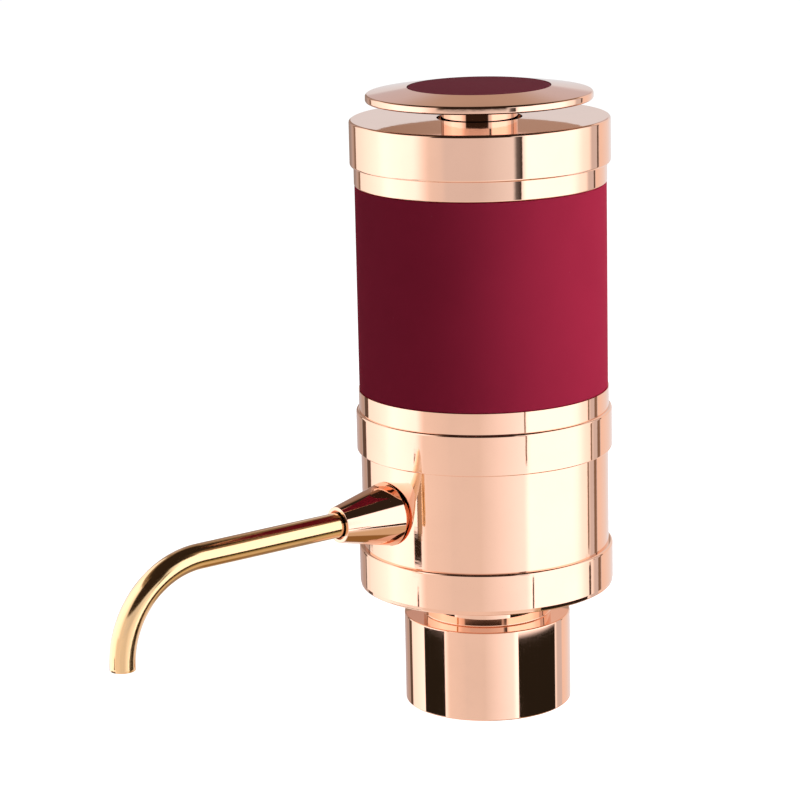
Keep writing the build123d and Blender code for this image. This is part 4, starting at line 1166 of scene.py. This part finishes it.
class AERATOR_OT_tube(Piece):
    """Bend the pouring tube: geometry nodes sweep a ring along the rounded path."""

    bl_idname = "aerator.tube"
    bl_label = "Pouring tube"

    def make(self, sizes, colours, studio):
        gold = tube_gold()
        tree = self.tree()
        carrier = new_object("pouring_tube", bpy.data.meshes.new("pouring_tube"))
        values = {
            "Start": -high("spout_tube", 1),
            "Reach": -(low("spout_tube", 1) + sizes.tube_radius),
            "Height": spout_level(),
            "End": low("spout_tube"),
            "Bend": sizes.tube_bend,
            "Radius": sizes.tube_radius,
            "Material": gold,
        }
        nodes_on(carrier, "sweep", tree, values)
        wall = carrier.modifiers.new("wall", "SOLIDIFY")
        wall.thickness = sizes.tube_wall
        wall.offset = -1
        wall.use_even_offset = True
        wall.use_quality_normals = True
        edge = carrier.modifiers.new("edge", "BEVEL")
        edge.width = sizes.tube_wall * 0.22
        edge.segments = 2
        edge.limit_method = "ANGLE"
        edge.angle_limit = math.radians(50)
        settled(carrier)
        dressed(carrier, gold, "spout_pipe", "spout_tube")

    def tree(self):
        """The node tree that sweeps the tube, with its sizes as inputs."""
        names = ("Start", "Reach", "Height", "End", "Bend", "Radius")
        graph, given = new_tree("bent_tube", names, "DISTANCE")
        line = graph.add("GeometryNodeCurvePrimitiveLine", {"mode": "POINTS"})
        corners = graph.add("GeometryNodeResampleCurve", inputs={"Curve": line, "Count": 3})
        index = graph.add("GeometryNodeInputIndex")
        turned = graph.sum("GREATER_THAN", index, 0.5)
        dropped = graph.sum("GREATER_THAN", index, 1.5)
        out = given["Start"] + (given["Reach"] - given["Start"]) * turned
        height = given["Height"] + (given["End"] - given["Height"]) * dropped
        path = graph.add(
            "GeometryNodeSetPosition",
            inputs={"Geometry": corners, "Position": graph.vector(0, out * -1, height)},
        )
        bent = graph.add(
            "GeometryNodeFilletCurve",
            {"mode": "POLY"},
            {"Curve": path, "Radius": given["Bend"], "Count": 72, "Limit Radius": False},
        )
        return self.ringed(graph, given, bent)

    def ringed(self, graph, given, path):
        """Sweep a ring along the path and store where each point is, along and around."""
        along = graph.add("GeometryNodeSplineParameter", output="Length")
        kept_path = graph.add(
            "GeometryNodeStoreNamedAttribute",
            {"data_type": "FLOAT", "domain": "POINT"},
            {"Geometry": path, "Name": "along", "Value": along},
        )
        ring = graph.add(
            "GeometryNodeCurvePrimitiveCircle",
            {"mode": "RADIUS"},
            {"Resolution": 96, "Radius": given["Radius"]},
        )
        around = graph.add("GeometryNodeSplineParameter", output="Factor")
        kept_ring = graph.add(
            "GeometryNodeStoreNamedAttribute",
            {"data_type": "FLOAT", "domain": "POINT"},
            {"Geometry": ring, "Name": "around", "Value": around},
        )
        swept = graph.add(
            "GeometryNodeCurveToMesh",
            inputs={"Curve": kept_path, "Profile Curve": kept_ring, "Fill Caps": False},
        )
        return closed_tree(graph, given, swept)


# Node, body, shank radius, head height, how domed the head is, and 1 where the head faces up
SCREWS = (
    ("collar_screws", "main_body", 0.001, 0.001, 0.0, 1),
    ("housing_screws", "main_body", 0.001, 0.0013, 0.93, 1),
    ("case_screws", "main_body", 0.001, 0.001, 0.0, 1),
    ("carrier_screws", "cap", 0.001, 0.001, 0.0, -1),
    ("pump_screws", "main_body", 0.0008, 0.0009, 0.93, -1),
)


class AERATOR_OT_screws(Piece):
    """Cut the screws: geometry nodes wind the threads, shape the heads and set the crosses."""

    bl_idname = "aerator.screws"
    bl_label = "Screws"

    def make(self, sizes, colours, studio):
        steel = INNER_FINISHES["steel"]("steel")
        tree = self.tree()
        for node, body, shank, head_height, dome, way in SCREWS:
            boxes = solids_of(node)
            head_end = 1 if way > 0 else 0
            face = boxes[0][head_end].z
            points = bmesh.new()
            for foot, top in boxes:
                points.verts.new(((foot.x + top.x) / 2, (foot.y + top.y) / 2, face))
            carrier = new_object("threaded_" + node, points)
            head = (boxes[0][1].x - boxes[0][0].x) / 2
            values = {
                "Length": boxes[0][1].z - boxes[0][0].z,
                "Shank": shank,
                "Depth": sizes.thread_depth,
                "Pitch": sizes.thread_pitch,
                "Head": head,
                "Head Height": head_height,
                "Neck": head if dome else shank,
                "Dome": dome,
                "Turn": 0.0 if way > 0 else math.pi,
                "Material": steel,
            }
            nodes_on(carrier, "thread", tree, values)
            settled(carrier)
            dressed(carrier, steel, body, node)

    def tree(self):
        """The node tree of a screw, its head's face at 0 and its shank down from there."""
        names = ("Length", "Shank", "Depth", "Pitch", "Head", "Head Height", "Neck", "Dome", "Turn")
        graph, given = new_tree("threaded_screw", names, points=True)
        rod = graph.add(
            "GeometryNodeMeshCylinder",
            {"fill_type": "NGON"},
            {"Vertices": 40, "Side Segments": 144, "Radius": 1.0, "Depth": given["Length"]},
        )
        x, y, z = graph.split(graph.add("GeometryNodeInputPosition"))
        level = z - given["Length"] * 0.5
        neck_level = given["Head Height"] * -1
        phase = graph.sum("FRACT", level / given["Pitch"] - graph.sum("ARCTAN2", y, x) / math.tau)
        crest = graph.sum("ABSOLUTE", phase * 2 - 1)
        tip = graph.ramp(level + given["Length"], 0, THREAD_TIP, 0.55, 1.0)
        thread = (given["Shank"] - given["Depth"] * (1 - crest)) * tip
        share_up = graph.sum("MAXIMUM", (level - neck_level) / given["Head Height"], 0)
        curve = (1 - (share_up * given["Dome"]) ** 4) ** 0.25
        side = (given["Neck"] + (given["Head"] - given["Neck"]) * share_up) * curve
        in_head = graph.sum("GREATER_THAN", level, neck_level - 0.00001)
        radius = thread + (side - thread) * in_head
        shaped = graph.add(
            "GeometryNodeSetPosition",
            inputs={"Geometry": rod, "Position": graph.vector(x * radius, y * radius, level)},
        )
        crossed = self.crossed(graph, given, shaped)
        turned = graph.vector(given["Turn"], 0, 0)
        placed = graph.add(
            "GeometryNodeInstanceOnPoints",
            inputs={"Points": given["Geometry"], "Instance": crossed, "Rotation": turned},
        )
        return closed_tree(graph, given, placed)

    def crossed(self, graph, given, screw):
        """Cut a cross into the head's face."""
        long = given["Head"] * 1.15
        thin = given["Head"] * 0.27
        deep = given["Head Height"] * 1.2
        for size in (graph.vector(long, thin, deep), graph.vector(thin, long, deep)):
            block = graph.add("GeometryNodeMeshCube", inputs={"Size": size})
            screw = graph.add(
                "GeometryNodeMeshBoolean",
                {"operation": "DIFFERENCE", "solver": "EXACT"},
                {"Mesh 1": screw, "Mesh 2": block},
            )
        return screw


class AERATOR_OT_spring(Piece):
    """Wind the button's spring: geometry nodes sweep a wire along a coil with closed ends."""

    bl_idname = "aerator.spring"
    bl_label = "Button spring"

    def make(self, sizes, colours, studio):
        finish = INNER_FINISHES["spring_steel"]("spring_steel")
        tree = self.tree()
        carrier = new_object("coil_spring", bpy.data.meshes.new("coil_spring"))
        foot, top = low("button_spring"), high("button_spring")
        values = {
            "Radius": radius_of("button_spring") - sizes.spring_wire,
            "Wire": sizes.spring_wire,
            "Foot": foot + sizes.spring_wire,
            "Top": top - sizes.spring_wire,
            "Turns": 6,
            "Material": finish,
        }
        nodes_on(carrier, "coil", tree, values)
        settled(carrier)
        dressed(carrier, finish, "cap", "button_spring")
        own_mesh(carrier)

    def tree(self):
        """The node tree of a coil whose first and last turns lie closed."""
        graph, given = new_tree("coil", ("Radius", "Wire", "Foot", "Top", "Turns"))
        coil = graph.add(
            "GeometryNodeCurveSpiral",
            inputs={
                "Resolution": 48,
                "Rotations": given["Turns"],
                "Start Radius": given["Radius"],
                "End Radius": given["Radius"],
                "Height": 0.001,
            },
        )
        x, y, _ = graph.split(graph.add("GeometryNodeInputPosition"))
        wound = graph.add("GeometryNodeSplineParameter", output="Factor") * given["Turns"]
        closed = given["Wire"] * 2.1
        first = graph.sum("MINIMUM", wound, 1) * closed
        last = graph.sum("MAXIMUM", wound - given["Turns"] + 1, 0) * closed
        open_turns = given["Turns"] - 2
        climbed = graph.sum("MINIMUM", graph.sum("MAXIMUM", wound - 1, 0), open_turns) / open_turns
        rest = given["Top"] - given["Foot"] - closed * 2
        level = given["Foot"] + first + climbed * rest + last
        path = graph.add(
            "GeometryNodeSetPosition",
            inputs={"Geometry": coil, "Position": graph.vector(x, y, level)},
        )
        ring = graph.add(
            "GeometryNodeCurvePrimitiveCircle",
            {"mode": "RADIUS"},
            {"Resolution": 24, "Radius": given["Wire"]},
        )
        swept = graph.add(
            "GeometryNodeCurveToMesh",
            inputs={"Curve": path, "Profile Curve": ring, "Fill Caps": True},
        )
        return closed_tree(graph, given, swept)


class AERATOR_OT_inner(Piece):
    """Give every CAD node that still shows its own finish."""

    bl_idname = "aerator.inner"
    bl_label = "Inner pieces"

    def make(self, sizes, colours, studio):
        slots = {s["node"]: s["material_slot"] for s in frame["record"]["subparts"]}
        for name, node in frame["nodes"].items():
            if node.hide_render:
                continue
            slot = slots[name]
            if slot not in INNER_FINISHES:
                raise RuntimeError(f"{name} has no finish for {slot}")
            node.data.materials.clear()
            node.data.materials.append(INNER_FINISHES[slot](slot))


# The studio

FLOOR_RADIUS = 4
FLOOR_THICKNESS = 0.002
FLOOR_LIFT = 0.86  # what the floor gives out to the camera, over the light that falls on it
WHITE = (1.0, 1.0, 1.0)
SOFTBOX = (1.9, 1.85, 1.94)
SOFTBOX_SIDE = (1.6, 1.5, 1.55)
SOFTBOX_RIM = (1.15, 1.1, 1.05)
FRONT = (0.9, 0.83, 0.81)
FRONT_LEFT = (1.03, 0.93, 0.89)
FRONT_RIGHT = (1.5, 1.5, 1.6)
CAP_FRONT = (0.81, 0.77, 0.79)
CAP_FRONT_RIGHT = (1.08, 1.12, 1.18)
BLACK = (0.022, 0.018, 0.012)
SHADE = (0.13, 0.09, 0.07)
GREY = (0.22, 0.22, 0.23)
BROWN = (0.26, 0.18, 0.13)
HAZE = (0.72, 0.68, 0.7)
MAUVE = (0.66, 0.63, 0.68)
TAN = (0.52, 0.4, 0.34)
PEACH = (1.02, 0.8, 0.69)
LIGHT_PEACH = (0.9, 0.87, 0.89)
WALL = (0.47, 0.37, 0.31)
BLUE_WALL = (0.78, 0.77, 0.79)
DIM_WALL = (0.64, 0.55, 0.56)
HIGH_WALL = (0.52, 0.38, 0.3)
LOW_WALL = (0.32, 0.23, 0.17)
SIDE_WALL = (0.4, 0.33, 0.31)
TABLE = (0.93, 0.72, 0.6)
LOW_LEFT = (1.05, 1.05, 1.05)
LOW_FRONT = (0.94, 0.82, 0.77)
LOW_RIGHT = (1.05, 1.0, 0.94)
LOW_SIDE = (0.35, 0.28, 0.14)
# Painted gold-brown reflection of the spout cone, as the barrel shows it next to the tube
CONE_REFLECTION = (0.46, 0.31, 0.2)
SAND = (0.72, 0.56, 0.37)
LOW_REAR = (0.35, 0.27, 0.2)
UNDERNEATH = (0.92, 0.79, 0.74)
DEEP = (0.31, 0.17, 0.055)
DUSK = (0.27, 0.19, 0.13)
NIGHT = (0.032, 0.021, 0.015)

# The light tent's rows of points: from and to in height, and how many
TENT_ROWS = ((-1.2, -0.4, 17), (-0.4, -0.1, 31), (-0.1, 0.16, 130), (0.16, 0.6, 56))
TENT_TURNS = 1440

# The light tent's cards: from and to in degrees right of the camera, from and to in height,
# the colours at the left and right ends, and how soft the left, right and level edges are
TENT_CARDS = (
    ("deep right", 41, 180, -1.3, 0.7, DEEP, DEEP, 6, 1, 0.05),
    ("low left", -180, -60, -0.45, 0.7, LOW_LEFT, LOW_LEFT, 1, 4, 0.05),
    ("low front", -60, 20, -0.45, 0.7, LOW_FRONT, LOW_FRONT, 4, 4, 0.05),
    ("low right", 20, 49, -0.26, 0.7, LOW_RIGHT, LOW_RIGHT, 6, 3, 0.06),
    ("sand", 44, 122, -0.42, 0.7, SAND, SAND, 3, 3, 0.05),
    ("low rear", 108, 180, -0.42, 0.7, LOW_REAR, LOW_REAR, 3, 1, 0.05),
    ("low side", 51, 81, -0.2, 0.0, LOW_SIDE, LOW_SIDE, 1.5, 2, 0.02),
    ("table, right", 82, 180, -0.16, 0.7, TABLE, TABLE, 4, 1, 0.02),
    ("left edge", -180, -137, -0.11, 0.7, MAUVE, TAN, 1, 3, 0.01),
    ("left softbox, rim", -134, -78, -0.095, 0.7, SOFTBOX_RIM, SOFTBOX, 0.8, 1, 0.01),
    ("left softbox", -90, -50, -0.095, 0.06, SOFTBOX, SOFTBOX_SIDE, 8, 1, 0.003),
    ("left softbox, high", -90, -40, 0.055, 0.7, SOFTBOX, SOFTBOX_SIDE, 8, 1, 0.003),
    ("front, left", -57, -25, -0.095, 0.06, FRONT_LEFT, FRONT, 5, 1, 0.003),
    ("front", -30, 0, -0.095, 0.06, FRONT, FRONT, 2, 1, 0.003),
    ("front, right", -5, 46, -0.095, 0.06, FRONT, FRONT_RIGHT, 3, 1, 0.003),
    ("cap front, left", -50, -20, 0.055, 0.7, FRONT_LEFT, CAP_FRONT, 9, 1, 0.003),
    ("cap front", -30, 6, 0.055, 0.7, CAP_FRONT, CAP_FRONT, 3, 1, 0.003),
    ("cap front, right", 0, 46, 0.055, 0.7, CAP_FRONT, CAP_FRONT_RIGHT, 3, 1, 0.003),
    ("right softbox", 36.5, 100, -0.095, 0.7, SOFTBOX, SOFTBOX, 3.5, 1, 0.01),
    ("right softbox, rim", 90, 112, -0.095, 0.7, SOFTBOX_SIDE, SOFTBOX_RIM, 8, 1, 0.01),
    ("rear haze", 107.5, 126, -0.2, 0.7, HAZE, HAZE, 3, 1, 0.01),
    ("right edge", 122, 156, -0.2, 0.7, PEACH, LIGHT_PEACH, 1, 1, 0.01),
    ("right edge, rear", 150, 180, -0.2, 0.7, LIGHT_PEACH, LIGHT_PEACH, 1, 1, 0.01),
    ("left line", -137, -127, -0.11, 0.07, SHADE, SHADE, 2, 0.8, 0.002),
    ("left line, gap", -134, -126, -0.045, -0.026, SOFTBOX_RIM, SOFTBOX_RIM, 0.8, 1, 0.001),
    ("left line, high", -139, -134, 0.06, 0.7, BROWN, BROWN, 2, 0.8, 0.002),
    # The next four cards are no softboxes or flags: they are a painted reflection, a dark one of the
    # pouring tube and a gold-brown one of the cone, in the barrel and the rings below it
    ("tube and cone reflection", -66.5, -58.8, -0.0255, -0.0145, NIGHT, NIGHT, 0.8, 0.8, 0.0015),
    ("tube and cone reflection, thin", -61.8, -57.6, -0.0155, 0.011, CONE_REFLECTION, CONE_REFLECTION, 0.3, 0.4, 0.002),
    ("tube and cone reflection, rim", -62.5, -61.6, -0.0155, 0.011, SHADE, SHADE, 0.3, 0.3, 0.002),
    ("tube and cone reflection, low", -61.6, -60, -0.045, -0.033, SHADE, SHADE, 0.5, 0.5, 0.002),
    ("right line", 34.4, 35.7, 0.009, 0.05, BROWN, BROWN, 0.3, 0.3, 0.001),
    ("patch line", 39.2, 40.6, -0.0475, -0.0275, BLACK, SHADE, 0.3, 0.3, 0.001),
    ("patch line, right", 100.8, 103.8, -0.0475, -0.0285, BLACK, SHADE, 0.5, 0.8, 0.001),
    ("cap line", 28.5, 34.8, 0.06, 0.125, GREY, NIGHT, 2.0, 0.5, 0.004),
    ("rear line, thin", 104.6, 107, -0.026, 0.06, BROWN, BROWN, 0.8, 0.8, 0.002),
    ("rear line", 115.8, 121, -0.045, 0.06, BROWN, BROWN, 0.8, 0.8, 0.002),
    ("rear line, high", 118.3, 121.3, 0.06, 0.7, SHADE, SHADE, 0.6, 0.6, 0.002),
    ("low left flag", -95.5, -60, -0.09, -0.0505, BLACK, BLACK, 0.7, 0.7, 0.0007),
    ("low right flag", 41.3, 104, -0.09, -0.0525, BLACK, BLACK, 0.5, 0.7, 0.0007),
    ("lower right flag", 50, 104, -0.135, -0.085, BLACK, NIGHT, 0.7, 0.7, 0.002),
    ("rear wall, left", -180, -165, 0.06, 0.122, WALL, LOW_WALL, 1, 4, 0.003),
    ("side wall, left", -168, -148, 0.06, 0.37, LOW_WALL, SIDE_WALL, 2, 4, 0.01),
    ("rear wall, right", 165, 180, 0.06, 0.122, WALL, WALL, 4, 1, 0.003),
    ("blue wall, left", -180, -167, 0.122, 0.19, BLUE_WALL, BLUE_WALL, 1, 1.5, 0.004),
    ("blue wall, right", 155, 180, 0.122, 0.19, BLUE_WALL, BLUE_WALL, 5, 1, 0.004),
    ("dim wall, left", -180, -167, 0.19, 0.3, DIM_WALL, DIM_WALL, 1, 1.5, 0.006),
    ("dim wall, right", 150, 180, 0.19, 0.3, DIM_WALL, DIM_WALL, 5, 1, 0.006),
    ("high wall, left", -180, -167, 0.25, 0.3, HIGH_WALL, HIGH_WALL, 1, 1.5, 0.02),
    ("high wall, right", 150, 180, 0.25, 0.3, HIGH_WALL, HIGH_WALL, 5, 1, 0.02),
    ("dusk", -180, 180, 0.285, 0.7, DUSK, DUSK, 1, 1, 0.01),
    ("right corner", 20, 56, 0.235, 0.7, NIGHT, NIGHT, 1, 4, 0.012),
    ("camera flag", -41, 26.5, 0.119, 0.7, NIGHT, NIGHT, 2, 2.5, 0.004),
    ("rear night", -180, -140, 0.365, 0.7, NIGHT, NIGHT, 1, 4, 0.01),
    ("night", -180, 180, 0.41, 0.7, NIGHT, NIGHT, 1, 1, 0.02),
)


def smooth(value, start, end):
    """A smooth step of an array of numbers."""
    share_done = np.clip((value - start) / (end - start), 0, 1)
    return share_done * share_done * (3 - 2 * share_done)


def direction(turn, lift):
    """The way to what stands at a turn from the spout's side and a lift above the horizon."""
    level = math.cos(lift)
    return Vector((level * math.sin(turn), -level * math.cos(turn), math.sin(lift)))


def turned(first, second, by):
    """Two directions turned in their own plane, the first towards the second."""
    return (
        first * math.cos(by) + second * math.sin(by),
        second * math.cos(by) - first * math.sin(by),
    )


class AERATOR_OT_studio(Piece):
    """Set up the floor, the light tent, the lamps, the world and the camera."""

    bl_idname = "aerator.studio"
    bl_label = "Studio"

    def make(self, sizes, colours, studio):
        bpy.context.scene.view_settings.view_transform = "Standard"
        self.world(studio)
        self.floor(colours)
        self.tent(studio)
        self.lamps(studio)
        self.camera(studio)

    def world(self, studio):
        world = bpy.data.worlds.new("studio_world")
        world.use_nodes = True
        bpy.context.scene.world = world
        graph = Graph(world.node_tree)
        seen = graph.add("ShaderNodeLightPath", output="Is Camera Ray")
        glossy = graph.add("ShaderNodeLightPath", output="Is Glossy Ray")
        direct = graph.sum("MAXIMUM", seen, glossy)
        strength = direct + (1 - direct) * studio.fill
        light = graph.add("ShaderNodeBackground", inputs={"Color": WHITE, "Strength": strength})
        graph.add("ShaderNodeOutputWorld", inputs={"Surface": light})

    def floor(self, colours):
        plate = tube(FLOOR_RADIUS, 0, -FLOOR_THICKNESS, 0, steps=64)
        piece = new_object("studio_floor", plate)
        material, graph = new_material("studio_floor")
        place = graph.place()
        tone = graph.tint(graph.noise(place, 0.2), tuple(colours.floor), (0.92, 0.92, 0.92))
        matt = graph.add(
            "ShaderNodeBsdfPrincipled",
            inputs={"Base Color": tone, "Roughness": 0.85, "Specular IOR Level": 0.0},
        )
        seen = graph.add("ShaderNodeLightPath", output="Is Camera Ray")
        lift = graph.add("ShaderNodeEmission", inputs={"Color": WHITE, "Strength": seen * FLOOR_LIFT})
        both = graph.add("ShaderNodeAddShader", inputs={0: matt, 1: lift})
        graph.add("ShaderNodeOutputMaterial", inputs={"Surface": both})
        piece.data.materials.append(material)
        piece.visible_glossy = False

    def tent(self, studio):
        """A closed drum that only reflections see, painted with softboxes and flags, and with a
        painted reflection of the pouring tube and cone.
        """
        turns = TENT_TURNS
        azimuth = np.linspace(-180, 180, turns, endpoint=False)
        rows = [np.linspace(*row, endpoint=row is TENT_ROWS[-1]) for row in TENT_ROWS]
        heights = np.concatenate(rows)
        across, up = np.meshgrid(azimuth, heights)
        glow = np.ones((*across.shape, 4))
        glow[..., :3] = UNDERNEATH
        for _, start, end, foot, top, left, right, soft_left, soft_right, soft_level in TENT_CARDS:
            mask = smooth(up, foot - soft_level, foot + soft_level)
            mask = mask * (1 - smooth(up, top - soft_level, top + soft_level))
            if start > -180:
                mask = mask * smooth(across, start - soft_left, start + soft_left)
            if end < 180:
                mask = mask * (1 - smooth(across, end - soft_right, end + soft_right))
            share_right = np.clip((across - start) / (end - start), 0, 1)[..., None]
            tone = np.array(left) * (1 - share_right) + np.array(right) * share_right
            glow[..., :3] += (tone - glow[..., :3]) * mask[..., None]
        forward = np.cos(np.radians(across))
        right = np.sin(np.radians(across))
        turn = studio.azimuth
        x = forward * math.sin(turn) + right * math.cos(turn)
        y = -forward * math.cos(turn) + right * math.sin(turn)
        radius = studio.tent_radius
        points = np.stack([x * radius, y * radius, up], axis=-1).reshape(-1, 3)
        points = np.concatenate([points, [(0, 0, heights[0]), (0, 0, heights[-1])]])
        glow = np.concatenate([glow.reshape(-1, 4), [(*DEEP, 1), (*NIGHT, 1)]])
        here = np.arange(turns)
        after = (here + 1) % turns
        faces = []
        for row in range(len(heights) - 1):
            base = row * turns
            faces.append(
                np.stack([base + here, base + after, base + turns + after, base + turns + here], 1)
            )
        rings = np.concatenate(faces).tolist()
        last = (len(heights) - 1) * turns
        foot_point = len(points) - 2
        rings += np.stack([after, here, here * 0 + foot_point], 1).tolist()
        rings += np.stack([last + here, last + after, here * 0 + foot_point + 1], 1).tolist()
        data = bpy.data.meshes.new("light_tent")
        data.from_pydata(points.tolist(), [], rings)
        piece = new_object("light_tent", data)
        paint = data.attributes.new("glow", "FLOAT_COLOR", "POINT")
        paint.data.foreach_set("color", glow.reshape(-1).astype(np.float32))
        material, graph = new_material("light_tent")
        tone = graph.add("ShaderNodeAttribute", {"attribute_name": "glow"}, output="Color")
        light = graph.add("ShaderNodeEmission", inputs={"Color": tone})
        graph.add("ShaderNodeOutputMaterial", inputs={"Surface": light})
        data.materials.append(material)
        piece.visible_camera = False
        piece.visible_diffuse = False
        piece.visible_transmission = False
        piece.visible_volume_scatter = False
        piece.visible_shadow = False

    def lamps(self, studio):
        """A large soft lamp on the right and a wide one overhead, neither seen in reflections."""
        aim = Vector((0, 0, studio.aim_height))
        rows = (
            ("key_lamp", 74, 12, 0.9, 0.6, studio.key),
            ("top_lamp", -20, 80, 0.9, 0.9, studio.top),
        )
        for name, side, rise, distance, width, power in rows:
            turn = studio.azimuth + math.radians(side)
            lift = math.radians(rise)
            way = direction(turn, lift)
            data = bpy.data.lights.new(name, "AREA")
            data.energy = power
            data.size = width
            lamp = bpy.data.objects.new(name, data)
            lamp.matrix_world = (
                Matrix.Translation(aim + way * distance)
                @ way.to_track_quat("Z", "Y").to_matrix().to_4x4()
            )
            lamp.visible_glossy = False
            bpy.context.scene.collection.objects.link(lamp)

    def camera(self, studio):
        """Place the camera at the photograph's viewing angle."""
        aim = Vector((0, 0, studio.aim_height))
        back = direction(studio.azimuth, studio.elevation)
        right = Vector((math.cos(studio.azimuth), math.sin(studio.azimuth), 0))
        ahead = -back
        up = right.cross(ahead)
        ahead, right = turned(ahead, right, studio.yaw)
        ahead, up = turned(ahead, up, studio.pitch)
        right, up = turned(right, up, studio.roll)
        data = bpy.data.cameras.new("camera")
        data.lens = studio.lens
        data.sensor_width = 36
        data.clip_start = 0.05
        data.clip_end = 20
        camera = bpy.data.objects.new("camera", data)
        columns = Matrix((right, up, -ahead)).transposed().to_4x4()
        camera.matrix_world = Matrix.Translation(aim + back * studio.distance) @ columns
        bpy.context.scene.collection.objects.link(camera)
        bpy.context.scene.camera = camera


OPERATORS = (
    AERATOR_OT_studio,
    AERATOR_OT_collar,
    AERATOR_OT_base,
    AERATOR_OT_housing,
    AERATOR_OT_sleeve,
    AERATOR_OT_cap,
    AERATOR_OT_button,
    AERATOR_OT_cone,
    AERATOR_OT_tube,
    AERATOR_OT_screws,
    AERATOR_OT_spring,
    AERATOR_OT_inner,
)


class AERATOR_PT_panel(bpy.types.Panel):
    """Lists the aerator's operators and settings."""

    bl_idname = "AERATOR_PT_panel"
    bl_label = "Wine aerator"
    bl_space_type = "VIEW_3D"
    bl_region_type = "UI"
    bl_category = "Aerator"

    def draw(self, context):
        for operator in OPERATORS:
            self.layout.operator(operator.bl_idname)
        for name, group in SETTINGS.items():
            box = self.layout.box()
            for key in group.__annotations__:
                box.prop(getattr(context.scene, name), key)


CLASSES = (*SETTINGS.values(), *OPERATORS, AERATOR_PT_panel)


def register():
    for item in CLASSES:
        bpy.utils.register_class(item)
    for name, group in SETTINGS.items():
        setattr(bpy.types.Scene, name, bpy.props.PointerProperty(type=group))


def unregister():
    for name in SETTINGS:
        delattr(bpy.types.Scene, name)
    for item in reversed(CLASSES):
        bpy.utils.unregister_class(item)


def main():
    """Make every piece in order."""
    register()
    for flat in list(bpy.data.materials):
        bpy.data.materials.remove(flat)
    for operator in OPERATORS:
        group, name = operator.bl_idname.split(".")
        getattr(getattr(bpy.ops, group), name)()


if __name__ == "__main__":
    main()
